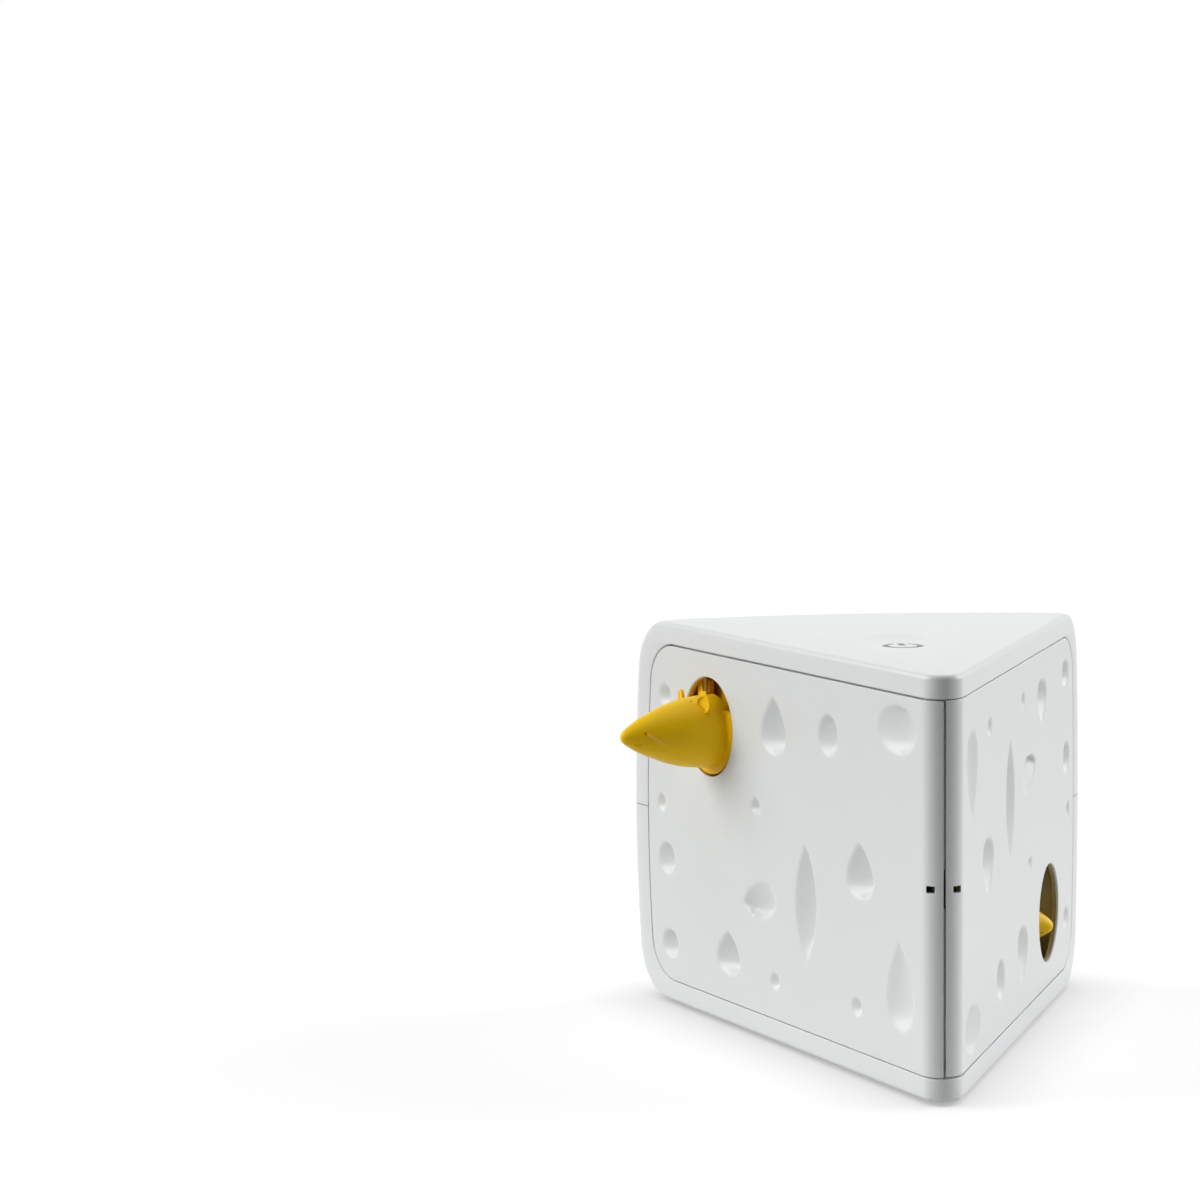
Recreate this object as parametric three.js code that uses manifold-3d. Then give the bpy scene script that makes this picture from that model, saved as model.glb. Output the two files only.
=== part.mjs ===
// A wedge-shaped cat toy with two toy mice that swing in and out of round holes.
// Units are millimetres and +Z is up. The origin is on the ground, under the front foot.
//
// Most pieces are drawn in the corner frame: its origin is the sharp corner where the two
// side faces would meet, at the height of the lower seam, and +Y runs to the back of the wedge.
// Pieces of a side face are drawn in the face frame of the left side: X runs along the face from
// the corner to the back, Y points out of the face and Z is up. The right side is the left side
// turned upside down about the long axis of the wedge.

import * as THREE from "three";
import Module from "manifold-3d";
import { mergeVertices } from "three/addons/utils/BufferGeometryUtils.js";

const wasm = await Module();
wasm.setup();

// Driving dimensions

// A running gap between pieces that touch, and how far a cutter runs past what it cuts
const fit = { gap: 0.3, overrun: 1, reach: 400, weld: 0.5 };

const wedge = {
  apexAngle: THREE.MathUtils.degToRad(45),
  faceHeight: 143,
  capBand: 9,
  tangentReach: 248.5,
  noseRadius: 8.5,
  cornerRadius: 8,
  backRadius: 357,
  profileRadius: 20,
  edgeRadius: 2,
  crown: 4.7,
};

const shell = { wall: 3, partingGap: 0.4, ledgeLap: 3, ledgeDepth: 5.2, ledgeRoot: 4 };
const panel = { wall: 2.4, rim: 9, seamRadius: 16, seamGap: 0.8, noseGap: 0.9 };
const mouseHole = { fromSeam: 53.5, radius: 20.5, fromTop: 31 };
const clipWindow = { innerX: 3.3, outerX: 6.5, height: 2.7, depth: 24 };
const frontClip = { height: 14, backY: 23.6 };

// Hollows in the side panel: place along the seam's reach, then place, width, height and depth
// as shares of the face's height
const dentShares = [
  [0.9336, 0.8462, 0.0594, 0.0594, 0.0063],
  [0.5516, 0.8322, 0.1294, 0.1538, 0.0098],
  [0.3729, 0.842, 0.0965, 0.107, 0.0091],
  [0.1612, 0.9007, 0.1888, 0.1259, 0.0098],
  [0.9486, 0.5238, 0.0462, 0.0448, 0.0056],
  [0.6121, 0.5951, 0.0476, 0.0406, 0.0056],
  [0.9311, 0.3615, 0.0909, 0.0874, 0.0084],
  [0.5987, 0.328, 0.1748, 0.1, 0.0098],
  [0.4455, 0.3587, 0.0979, 0.3147, 0.0098],
  [0.2735, 0.4972, 0.1301, 0.1497, 0.0098],
  [0.9194, 0.1098, 0.0874, 0.0783, 0.0077],
  [0.7094, 0.1455, 0.1231, 0.1224, 0.0091],
  [0.5491, 0.1091, 0.0434, 0.0427, 0.0056],
  [0.2839, 0.1231, 0.0476, 0.0441, 0.0056],
  [0.1511, 0.2217, 0.1259, 0.2378, 0.0098],
];

const button = {
  y: 111,
  radius: 9.5,
  gap: 0.4,
  thickness: 2.2,
  stemRadius: 2.4,
  flangeWidth: 1.6,
  flangeThickness: 1,
  travel: 1,
  sinkShare: 0.6,
};
const boot = { footRadius: 7.2, topRadius: 5.6, wall: 0.9 };
const dish = { y: 123, halfWidth: 15, halfLength: 27, depth: 1.2 };
const board = {
  halfWidth: 13,
  frontY: 92,
  backY: 142,
  thickness: 1.6,
  drop: 11.4,
  postRadius: 3,
  screwBoreRadius: 1.2,
};
const boardPostShares = [[-0.69, 0.09], [0.69, 0.91]];
const boardScrew = { headRadius: 2.2, headHeight: 1.4, shankRadius: 0.9, shankLength: 6.5 };
const tactSwitch = { halfSide: 3, height: 3.4, plungerRadius: 1.7, plungerHeight: 0.8 };

// The swing frame turns on a vertical spindle near the nose
const spindle = { y: 34, radius: 2.5, footGap: 3.4 };
const bush = { radius: 4.2, height: 8, flangeRadius: 5.2, flangeHeight: 1.2 };
const bushBoss = { radius: 7.2, height: 13 };
const hub = { radius: 6.5 };
const swing = { angle: THREE.MathUtils.degToRad(14.4) };
const arm = {
  thickness: 3,
  height: 16,
  ringRadius: 8.9,
  forkWidth: 11,
  forkBack: 3,
  lugHeight: 3,
  lugSetback: 0.5,
  shieldThickness: 2,
  shieldMargin: 2.5,
  shieldSetback: 0.5,
};
const armScrew = { headRadius: 2.2, headHeight: 1.4, shankRadius: 1.1 };
const pivotRod = { offset: 11, depth: 4.8, radius: 0.9, halfLength: 24.3, bore: 1.2 };

// The toy mouse, whose profile runs from tail end to nose as shares of its length and radius
const mouse = {
  length: 40.4,
  radius: 15,
  profileShares: [
    [0, 1],
    [0.144, 0.98],
    [0.314, 0.92],
    [0.431, 0.84],
    [0.545, 0.74],
    [0.663, 0.613],
    [0.812, 0.433],
    [0.946, 0.193],
    [0.988, 0.08],
  ],
  wall: 1.8,
  collarRadius: 19.6,
  collarSetback: 0.4,
  collarThickness: 2.4,
  notchHeight: 7.9,
  kneeHalfWidth: 3.8,
  kneeFront: 1.6,
  kneeBack: 2.4,
  kneeTop: 18.2,
  kneeBottom: 12,
  webReach: 17,
  webBottom: 10,
  earReach: 9.8,
  earOut: 7,
  earRise: 12.6,
  earRadius: 4,
  earThickness: 1.5,
  earSplay: THREE.MathUtils.degToRad(13),
};
const upperMouse = { drop: 1.6, droop: 0 };
const lowerMouse = { drop: 4.4, droop: THREE.MathUtils.degToRad(4) };

// A fixed guard behind each hole keeps paws out of the works
const guard = { frontLap: 13.5, backRoom: 1.5, innerRoom: 1, halfHeightRoom: 1.1, wall: 1.8 };

// Gears: a toothed sector on the hub, a stepped gear and the motor pinion
const gear = {
  moduleSize: 1,
  pressure: THREE.MathUtils.degToRad(20),
  backlash: 0.35,
  addendumShare: 0.8,
  dedendumShare: 1.15,
};
const sector = { teeth: 150, spareTeeth: 3, thickness: 6, rim: 5, spoke: 5 };
const pinion = { teeth: 14, thickness: 12 };
const wheel = { teeth: 30, thickness: 5 };
const motorGear = { teeth: 9, thickness: 6, angle: THREE.MathUtils.degToRad(135) };
const gearPin = { radius: 1.5, clearance: 0.25, tail: 2 };
const gearFrame = {
  span: 48,
  belowMiddle: 16.5,
  thickness: 3,
  legRadius: 3.2,
  collarRadius: 4,
  collarHeight: 1.2,
};
// Corners of the gear frame and places of its legs about the gear pin, as shares of its span
const gearFrameShares = [[-0.69, -0.29], [0.19, -0.25], [0.19, 0.17], [0.08, 0.71], [-0.79, 0.75]];
const gearLegShares = [[-0.6, -0.21], [-0.7, 0.64], [-0.03, 0.62]];
const motor = { radius: 12, length: 34, shaftRadius: 1, bossRadius: 3.2, bossHeight: 1.2 };

// Three cells lie crosswise in a tray over a hinged door
const cell = {
  radius: 7.25,
  length: 50.5,
  capRadius: 2.6,
  capLength: 1.2,
  pitch: 15.3,
  count: 3,
  play: 0.4,
};
const tray = { leftX: -59.5, frontY: 158.5, wall: 1.6, endGap: 3.2, rib: 1.2, ribShare: 0.7 };
const contact = { thickness: 0.5, bump: 1.2, width: 8 };
const door = {
  thickness: 2.4,
  lap: 2,
  gap: 0.5,
  pinRadius: 1,
  knuckleRadius: 2,
  knuckleWidth: 6,
  tongue: 9,
  tongueEdge: 3.7,
  railRise: 1.6,
};
const doorScrew = { headRadius: 2.6, headHeight: 1.2, shankRadius: 1.2, shankLength: 3.9 };

const foot = { radius: 6.6, proud: 1.7, sunk: 1.2, frontY: 38 };
const caseScrew = {
  headRadius: 2.7,
  headHeight: 2,
  shankRadius: 1.4,
  shankLength: 26,
  belowMiddle: 14,
  wellRadius: 3.3,
  bossRadius: 5,
};
const sideScrew = { fromSeam: 23.5, depth: 13 };
const backScrew = { fromBack: 35.8 };

// Derived sizes

const halfApex = wedge.apexAngle / 2;
const sinHalf = Math.sin(halfApex);
const cosHalf = Math.cos(halfApex);
const midHeight = wedge.faceHeight / 2;
const halfTotal = midHeight + wedge.capBand;
const noseCentreY = wedge.noseRadius / sinHalf;
const caseTop = wedge.faceHeight + wedge.capBand;
const caseBottom = -wedge.capBand;
const roofZ = caseTop - shell.wall;
const floorZ = caseBottom + shell.wall;
const pivotReach = spindle.y * cosHalf;
const pivotDepth = spindle.y * sinHalf;
const seamReach = wedge.tangentReach - panel.rim;
const backY = backPlace(0).centreY + wedge.backRadius;
const holeReach = seamReach - mouseHole.fromSeam;
const holeHeight = wedge.faceHeight - mouseHole.fromTop;
const rodReach = holeReach + pivotRod.offset;
const forkHalf = pivotRod.halfLength + fit.gap;
const boardPosts = boardPostShares.map(([xShare, yShare]) => {
  return [xShare * board.halfWidth, board.frontY + yShare * (board.backY - board.frontY)];
});
const guardHalf = forkHalf + guard.halfHeightRoom;
const guardFront = holeReach - mouseHole.radius - guard.frontLap;
const guardBack = holeReach + mouseHole.radius + guard.backRoom;
const forkReach = rodReach + arm.forkWidth / 2 - pivotReach;
const forkSwing = forkReach * Math.sin(swing.angle) + (arm.thickness / 2) * Math.cos(swing.angle);
const guardDepth = pivotDepth + forkSwing + guard.innerRoom;
const frameTop = midHeight - gearFrame.belowMiddle;
const frameBottom = frameTop - gearFrame.thickness;
const screwShoulder = midHeight - caseScrew.belowMiddle;
const bushFlangeZ = floorZ + bushBoss.height + fit.gap;

// Boolean helpers

function toSolid(geometry) {
  const bare = new THREE.BufferGeometry();
  bare.setAttribute("position", geometry.attributes.position);
  if (geometry.index) bare.setIndex(geometry.index);
  const merged = mergeVertices(bare);
  const kept = [];
  const index = merged.index.array;
  for (let i = 0; i < index.length; i += 3) {
    const [a, b, c] = [index[i], index[i + 1], index[i + 2]];
    if (a !== b && b !== c && c !== a) kept.push(a, b, c);
  }
  const vertProperties = new Float32Array(merged.attributes.position.array);
  return new wasm.Manifold(new wasm.Mesh({ numProp: 3, vertProperties, triVerts: new Uint32Array(kept) }));
}

function toGeometry(solid) {
  const mesh = solid.getMesh();
  const geometry = new THREE.BufferGeometry();
  geometry.setAttribute("position", new THREE.BufferAttribute(new Float32Array(mesh.vertProperties), 3));
  geometry.setIndex(new THREE.BufferAttribute(new Uint32Array(mesh.triVerts), 1));
  return geometry;
}

function joinAll(solids) {
  return solids.reduce((whole, next) => whole.add(next));
}

function cutAll(solid, cutters) {
  return cutters.reduce((whole, next) => whole.subtract(next), solid);
}

// Basic solids

function boxSolid(x0, x1, y0, y1, z0, z1) {
  const geometry = new THREE.BoxGeometry(x1 - x0, y1 - y0, z1 - z0);
  geometry.translate((x0 + x1) / 2, (y0 + y1) / 2, (z0 + z1) / 2);
  return toSolid(geometry);
}

// A round bar along Z
function post(x, y, z0, z1, radius, sides = 20) {
  const geometry = new THREE.CylinderGeometry(radius, radius, z1 - z0, sides);
  geometry.rotateX(Math.PI / 2);
  geometry.translate(x, y, (z0 + z1) / 2);
  return toSolid(geometry);
}

// A round bar along Y, as through a face of the face frame
function barAlongY(x, z, y0, y1, radius, sides = 20) {
  const geometry = new THREE.CylinderGeometry(radius, radius, y1 - y0, sides);
  geometry.translate(x, (y0 + y1) / 2, z);
  return toSolid(geometry);
}

// A round bar along X
function barAlongX(y, z, x0, x1, radius, sides = 16) {
  const geometry = new THREE.CylinderGeometry(radius, radius, x1 - x0, sides);
  geometry.rotateZ(Math.PI / 2);
  geometry.translate((x0 + x1) / 2, y, z);
  return toSolid(geometry);
}

// A flat outline raised along Z
function plate(points, z0, z1) {
  const shape = new THREE.Shape(points.map(([x, y]) => new THREE.Vector2(x, y)));
  const geometry = new THREE.ExtrudeGeometry(shape, { depth: z1 - z0, bevelEnabled: false });
  geometry.translate(0, 0, z0);
  return toSolid(geometry);
}

// A side profile in Y and Z, drawn out along X
function profileBar(points, halfWidth) {
  const shape = new THREE.Shape(points.map(([y, z]) => new THREE.Vector2(y, z)));
  const geometry = new THREE.ExtrudeGeometry(shape, { depth: 2 * halfWidth, bevelEnabled: false });
  geometry.translate(0, 0, -halfWidth);
  const [x, y, z] = [new THREE.Vector3(1, 0, 0), new THREE.Vector3(0, 1, 0), new THREE.Vector3(0, 0, 1)];
  geometry.applyMatrix4(new THREE.Matrix4().makeBasis(y, z, x));
  return toSolid(geometry);
}

// A skin over rings of equal count, with a fan over each end
function loft(rings) {
  const count = rings[0].length;
  const positions = [];
  const index = [];
  rings.forEach((ring) => ring.forEach((p) => positions.push(p.x, p.y, p.z)));
  for (let level = 0; level < rings.length - 1; level += 1) {
    for (let i = 0; i < count; i += 1) {
      const j = (i + 1) % count;
      const [a, b] = [level * count + i, level * count + j];
      const [c, d] = [a + count, b + count];
      index.push(a, b, d, a, d, c);
    }
  }
  [0, rings.length - 1].forEach((level) => {
    const centre = rings[level].reduce((sum, p) => sum.add(p), new THREE.Vector3()).divideScalar(count);
    const hubIndex = positions.length / 3;
    positions.push(centre.x, centre.y, centre.z);
    for (let i = 0; i < count; i += 1) {
      const [a, b] = [level * count + i, level * count + ((i + 1) % count)];
      index.push(...(level === 0 ? [hubIndex, b, a] : [hubIndex, a, b]));
    }
  });
  const geometry = new THREE.BufferGeometry();
  geometry.setAttribute("position", new THREE.Float32BufferAttribute(positions, 3));
  geometry.setIndex(index);
  return toSolid(geometry);
}

// The wedge

// How far the back has drawn in at a height, from its crown and its rounded ends
function backShift(z, halfHeight, radius) {
  const away = Math.abs(z - midHeight);
  const crown = wedge.crown * (away / midHeight) ** 2;
  const past = Math.min(Math.max(away - (halfHeight - radius), 0), radius);
  return crown + radius - Math.sqrt(radius ** 2 - past ** 2);
}

function arcPoints(centreX, centreY, radius, from, to, steps) {
  const points = [];
  for (let i = 0; i <= steps; i += 1) {
    const angle = from + ((to - from) * i) / steps;
    points.push([centreX + radius * Math.cos(angle), centreY + radius * Math.sin(angle)]);
  }
  return points;
}

// The centres of the back corners and of the curved back, seen from above
function backPlace(shift) {
  const reach = wedge.tangentReach - shift / cosHalf;
  const cornerX = reach * sinHalf - wedge.cornerRadius * cosHalf;
  const cornerY = reach * cosHalf + wedge.cornerRadius * sinHalf;
  const centreY = cornerY - Math.sqrt((wedge.backRadius - wedge.cornerRadius) ** 2 - cornerX ** 2);
  return { cornerX, cornerY, centreY };
}

// The outline seen from above, drawn in by an inset and with its back moved forward
function planOutline(inset, shift) {
  const { cornerX, cornerY, centreY } = backPlace(shift);
  const turn = Math.atan2(cornerX, cornerY - centreY);
  const quarter = Math.PI / 2;
  const [noseSteps, cornerSteps, backSteps] = [6, 4, 6];
  return [
    ...arcPoints(0, noseCentreY, wedge.noseRadius - inset, -Math.PI + halfApex, -halfApex, noseSteps),
    ...arcPoints(cornerX, cornerY, wedge.cornerRadius - inset, -halfApex, quarter - turn, cornerSteps),
    ...arcPoints(0, centreY, wedge.backRadius - inset, quarter - turn, quarter + turn, backSteps)
      .slice(1, -1),
    ...arcPoints(-cornerX, cornerY, wedge.cornerRadius - inset, quarter + turn, Math.PI + halfApex,
      cornerSteps),
  ];
}

// Heights of the rings of the skin, from one end to the middle
function ringOffsets(halfHeight, radius, edge) {
  const quarter = Math.PI / 2;
  const offsets = [0];
  if (edge > 0) [0.5, 1].forEach((share) => offsets.push(edge * (1 - Math.cos(quarter * share))));
  [0.5, 0.68, 0.84, 1].forEach((share) => offsets.push(radius * (1 - Math.cos(quarter * share))));
  [0.5, 1].forEach((share) => offsets.push(radius + (halfHeight - radius) * share));
  return [...new Set(offsets)].sort((a, b) => a - b);
}

// The body of the wedge, drawn in on every side by an inset
function body(inset) {
  const halfHeight = halfTotal - inset;
  const radius = wedge.profileRadius - inset;
  const edge = Math.max(wedge.edgeRadius - inset, 0);
  const offsets = ringOffsets(halfHeight, radius, edge);
  const below = offsets.map((offset) => midHeight - halfHeight + offset);
  const above = offsets.slice(0, -1).reverse().map((offset) => midHeight + halfHeight - offset);
  const rings = [...below, ...above].map((z) => {
    const past = Math.max(Math.abs(z - midHeight) - (halfHeight - edge), 0);
    const edgeInset = edge - Math.sqrt(Math.max(edge ** 2 - past ** 2, 0));
    const outline = planOutline(inset + edgeInset, backShift(z, halfHeight, radius));
    return outline.map(([x, y]) => new THREE.Vector3(x, y, z));
  });
  return loft(rings);
}

// The space that the side panels fill, seen from the side and drawn in by an inset
function panelZone(inset) {
  const halfHeight = midHeight - inset;
  const radius = panel.seamRadius - inset;
  const quarter = Math.PI / 2;
  const heights = [0, 1 / 3, 2 / 3, 1].map((share) => radius * (1 - Math.cos(quarter * share)));
  [0.5, 1].forEach((share) => heights.push(radius + (halfHeight - radius) * share));
  const below = heights.map((offset) => midHeight - halfHeight + offset);
  const above = heights.slice(0, -1).reverse().map((offset) => midHeight + halfHeight - offset);
  const curve = [...below, ...above].map((z) => {
    return [seamReach * cosHalf - inset - backShift(z, halfHeight, radius), z];
  });
  const front = -fit.reach;
  return profileBar([[front, midHeight - halfHeight], ...curve, [front, midHeight + halfHeight]], fit.reach);
}

function halfSpace(zFrom, zTo) {
  return boxSolid(-fit.reach, fit.reach, -fit.reach, fit.reach, zFrom, zTo);
}

// Frames

// Places a solid of the left face frame in the corner frame
function fromFace(solid) {
  return solid.rotate([0, 0, THREE.MathUtils.radToDeg(Math.PI / 2 + halfApex)]);
}

// The corner-frame place of a point of the left face frame
function facePoint(reach, out) {
  return [-reach * sinHalf - out * cosHalf, reach * cosHalf - out * sinHalf];
}

// Casing

const caseScrewPlaces = (() => {
  const [x, y] = facePoint(seamReach - sideScrew.fromSeam, -sideScrew.depth);
  return [[x, y], [-x, y], [0, backY - backScrew.fromBack]];
})();

const rawShell = body(0).subtract(body(shell.wall)).subtract(panelZone(0));
const ledge = plate(planOutline(panel.wall + fit.gap, 0), caseBottom, caseTop)
  .subtract(plate(planOutline(shell.ledgeDepth, 0), caseBottom - fit.overrun, caseTop + fit.overrun))
  .intersect(panelZone(-shell.ledgeRoot).subtract(panelZone(shell.ledgeLap)))
  .intersect(body(shell.wall / 2));
const rind = rawShell.add(ledge);

function upperShell() {
  const parting = midHeight + shell.partingGap / 2;
  const boardZ = roofZ - board.drop;
  const root = roofZ + fit.weld;
  const bosses = caseScrewPlaces.map(([x, y]) => post(x, y, parting, root, caseScrew.bossRadius));
  const boardBosses = boardPosts.map(([x, y]) => post(x, y, boardZ + fit.gap, root, board.postRadius));
  const spindleBoss = post(0, spindle.y, roofZ - bushBoss.height, root, bushBoss.radius, 24);
  const rimRadius = button.radius + button.flangeWidth;
  const buttonRim = post(0, button.y, roofZ - button.flangeThickness, root, rimRadius, 28);
  const pilotTop = screwShoulder + caseScrew.headHeight + caseScrew.shankLength + fit.overrun;
  const pilots = caseScrewPlaces.map(([x, y]) => {
    return post(x, y, midHeight - fit.overrun, pilotTop, caseScrew.shankRadius + fit.gap, 12);
  });
  const boardPilots = boardPosts.map(([x, y]) => {
    const end = boardZ + boardScrew.shankLength;
    return post(x, y, boardZ - fit.overrun, end, boardScrew.shankRadius + fit.gap, 10);
  });
  const seatLow = roofZ - bushBoss.height - fit.overrun;
  const seatHigh = roofZ - spindle.footGap + fit.overrun;
  const bushSeat = post(0, spindle.y, seatLow, seatHigh, bush.radius + fit.gap, 24);
  const hollow = new THREE.SphereGeometry(1, 20, 8).scale(dish.halfWidth, dish.halfLength, dish.depth);
  const dishCut = toSolid(hollow.translate(0, dish.y, caseTop));
  const holeLow = roofZ - fit.overrun - button.flangeThickness;
  const holeRadius = button.radius + button.gap;
  const buttonCut = post(0, button.y, holeLow, caseTop + fit.overrun, holeRadius, 28);
  const upperRind = rind.intersect(halfSpace(parting, fit.reach));
  const whole = joinAll([upperRind, ...bosses, ...boardBosses, spindleBoss, buttonRim]);
  return cutAll(whole, [...pilots, ...boardPilots, bushSeat, dishCut, buttonCut]);
}

const trayRightX = tray.leftX + cell.length + 2 * tray.endGap + 2 * tray.wall;
const trayBackY = tray.frontY + cell.count * cell.pitch + 2 * tray.wall;
const doorHole = {
  x0: tray.leftX + tray.wall,
  x1: trayRightX - tray.wall,
  y0: tray.frontY + tray.wall,
  y1: trayBackY - tray.wall,
};
const hingeY = doorHole.y1 + tray.wall + door.knuckleRadius + door.gap;
const hingeZ = caseBottom + door.knuckleRadius;
const knuckleCentreX = [doorHole.x0 + door.knuckleWidth, doorHole.x1 - door.knuckleWidth];
const doorScrewPlace = [(doorHole.x0 + doorHole.x1) / 2, doorHole.y0 - door.tongue + door.tongueEdge];

function lowerShell() {
  const parting = midHeight - shell.partingGap / 2;
  const root = floorZ - fit.weld;
  const below = caseBottom - fit.overrun;
  const bosses = caseScrewPlaces.map(([x, y]) => post(x, y, root, parting, caseScrew.bossRadius));
  const spindleBoss = post(0, spindle.y, root, floorZ + bushBoss.height, bushBoss.radius, 24);
  const wellTop = screwShoulder + caseScrew.headHeight + fit.gap;
  const wells = caseScrewPlaces.map(([x, y]) => post(x, y, below, wellTop, caseScrew.wellRadius, 16));
  const shanks = caseScrewPlaces.map(([x, y]) => {
    return post(x, y, screwShoulder, midHeight + fit.overrun, caseScrew.shankRadius + fit.gap, 12);
  });
  const seatLow = floorZ + spindle.footGap - fit.overrun;
  const seatHigh = floorZ + bushBoss.height + fit.overrun;
  const bushSeat = post(0, spindle.y, seatLow, seatHigh, bush.radius + fit.gap, 24);
  const { x0, x1, y0, y1 } = doorHole;
  const hole = boxSolid(x0, x1, y0, y1, below, floorZ + fit.overrun);
  const leafTop = caseBottom + door.thickness + fit.gap;
  const recess = boxSolid(x0 - door.lap, x1 + door.lap, y0 - door.lap, y1, below, leafTop);
  const [screwX, screwY] = doorScrewPlace;
  const tongueHalf = door.tongue / 2 + door.gap;
  const tongueFront = y0 - door.tongue - door.gap;
  const tongueCut = boxSolid(screwX - tongueHalf, screwX + tongueHalf, tongueFront, y0, below, leafTop);
  const railFront = hingeY - door.knuckleRadius;
  const railBack = hingeY + door.knuckleRadius;
  const railTop = floorZ + door.railRise;
  const hingeRail = boxSolid(x0, x1, railFront, railBack, root, railTop);
  const bossTop = floorZ + doorScrew.shankLength;
  const screwBoss = post(screwX, screwY, root, bossTop, doorScrew.headRadius, 14);
  const screwBore = post(screwX, screwY, below, bossTop + fit.overrun, doorScrew.shankRadius + fit.gap, 12);
  const hingeCuts = knuckleCentreX.map((x) => {
    const half = door.knuckleWidth / 2 + door.gap;
    const back = railBack + door.gap;
    return boxSolid(x - half, x + half, y1 - fit.overrun, back, below, railTop + fit.overrun);
  });
  const pinBore = barAlongX(hingeY, hingeZ, x0 - fit.gap, x1 + fit.gap, door.pinRadius + fit.gap, 12);
  const footSeats = footPlaces().map(([x, y]) => {
    return post(x, y, below, caseBottom + foot.sunk + fit.gap, foot.radius + fit.gap, 24);
  });
  const lowerRind = rind.intersect(halfSpace(-fit.reach, parting));
  const whole = joinAll([lowerRind, ...bosses, spindleBoss, hingeRail, screwBoss]);
  const doorCuts = [hole, recess, tongueCut, screwBore, ...hingeCuts, pinBore];
  return cutAll(whole, [...wells, ...shanks, bushSeat, ...doorCuts, ...footSeats]);
}

function footPlaces() {
  return [[0, foot.frontY], ...caseScrewPlaces.slice(0, 2)];
}

function footPad() {
  const rim = foot.proud / 2;
  const points = [
    [0, caseBottom - foot.proud],
    [foot.radius - rim, caseBottom - foot.proud],
    [foot.radius, caseBottom - foot.proud + rim],
    [foot.radius, caseBottom + foot.sunk],
    [0, caseBottom + foot.sunk],
  ];
  return toSolid(turned(points, 24));
}

// A turned shape about Z from radius and height pairs, upward, that start and end on the axis
function turned(pairs, sides) {
  const points = pairs.map(([radius, height]) => new THREE.Vector2(radius, height));
  const geometry = new THREE.LatheGeometry(points, sides);
  geometry.rotateX(Math.PI / 2);
  return geometry;
}

// Side panel, in the corner frame

function sidePanel() {
  const outer = plate(planOutline(0, 0), -fit.overrun, wedge.faceHeight + fit.overrun);
  const inner = plate(planOutline(panel.wall, 0), -2 * fit.overrun, wedge.faceHeight + 2 * fit.overrun);
  const { reach, overrun } = fit;
  const leftHalf = boxSolid(-reach, -panel.noseGap / 2, -reach, reach, -reach, reach);
  const blank = outer.subtract(inner).intersect(leftHalf).intersect(panelZone(panel.seamGap));
  const holeBar = barAlongY(holeReach, holeHeight, -panel.wall - overrun, overrun, mouseHole.radius, 40);
  const holeCut = fromFace(holeBar);
  const windowLow = midHeight - clipWindow.height / 2;
  const windowHigh = midHeight + clipWindow.height / 2;
  const { outerX, innerX, depth: windowDepth } = clipWindow;
  const windowCut = boxSolid(-outerX, -innerX, 0, windowDepth, windowLow, windowHigh);
  const dentCuts = dentShares.map(([reachShare, ...shares]) => {
    const [height, width, tall, depth] = shares.map((share) => share * wedge.faceHeight);
    const ball = new THREE.SphereGeometry(1, 12, 6).rotateX(Math.PI / 2).scale(width / 2, depth, tall / 2);
    return fromFace(toSolid(ball.translate(reachShare * seamReach, 0, height)));
  });
  return cutAll(blank, [holeCut, windowCut, ...dentCuts]);
}

function clipBlock() {
  const radius = wedge.noseRadius - panel.wall - fit.gap;
  const side = THREE.MathUtils.degToRad(75);
  const front = arcPoints(0, noseCentreY, radius, -Math.PI / 2 - side, -Math.PI / 2 + side, 10);
  const halfWidth = front[front.length - 1][0];
  const outline = [...front, [halfWidth, frontClip.backY], [-halfWidth, frontClip.backY]];
  return plate(outline, midHeight - frontClip.height / 2, midHeight + frontClip.height / 2);
}

// Guard behind a mouse hole, in the face frame

function pawGuard() {
  const front = -panel.wall - fit.gap;
  const outer = guardHalf + guard.wall;
  const [back, deep] = [guardBack + guard.wall, -guardDepth - guard.wall];
  const block = boxSolid(guardFront, back, deep, front, holeHeight - outer, holeHeight + outer);
  const [innerLow, innerHigh] = [holeHeight - guardHalf, holeHeight + guardHalf];
  const mouth = front + fit.overrun;
  const inside = boxSolid(guardFront - fit.overrun, guardBack, -guardDepth, mouth, innerLow, innerHigh);
  return block.subtract(inside);
}

// Swing arm, rod and mouse, in the face frame with the mouse out

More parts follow.
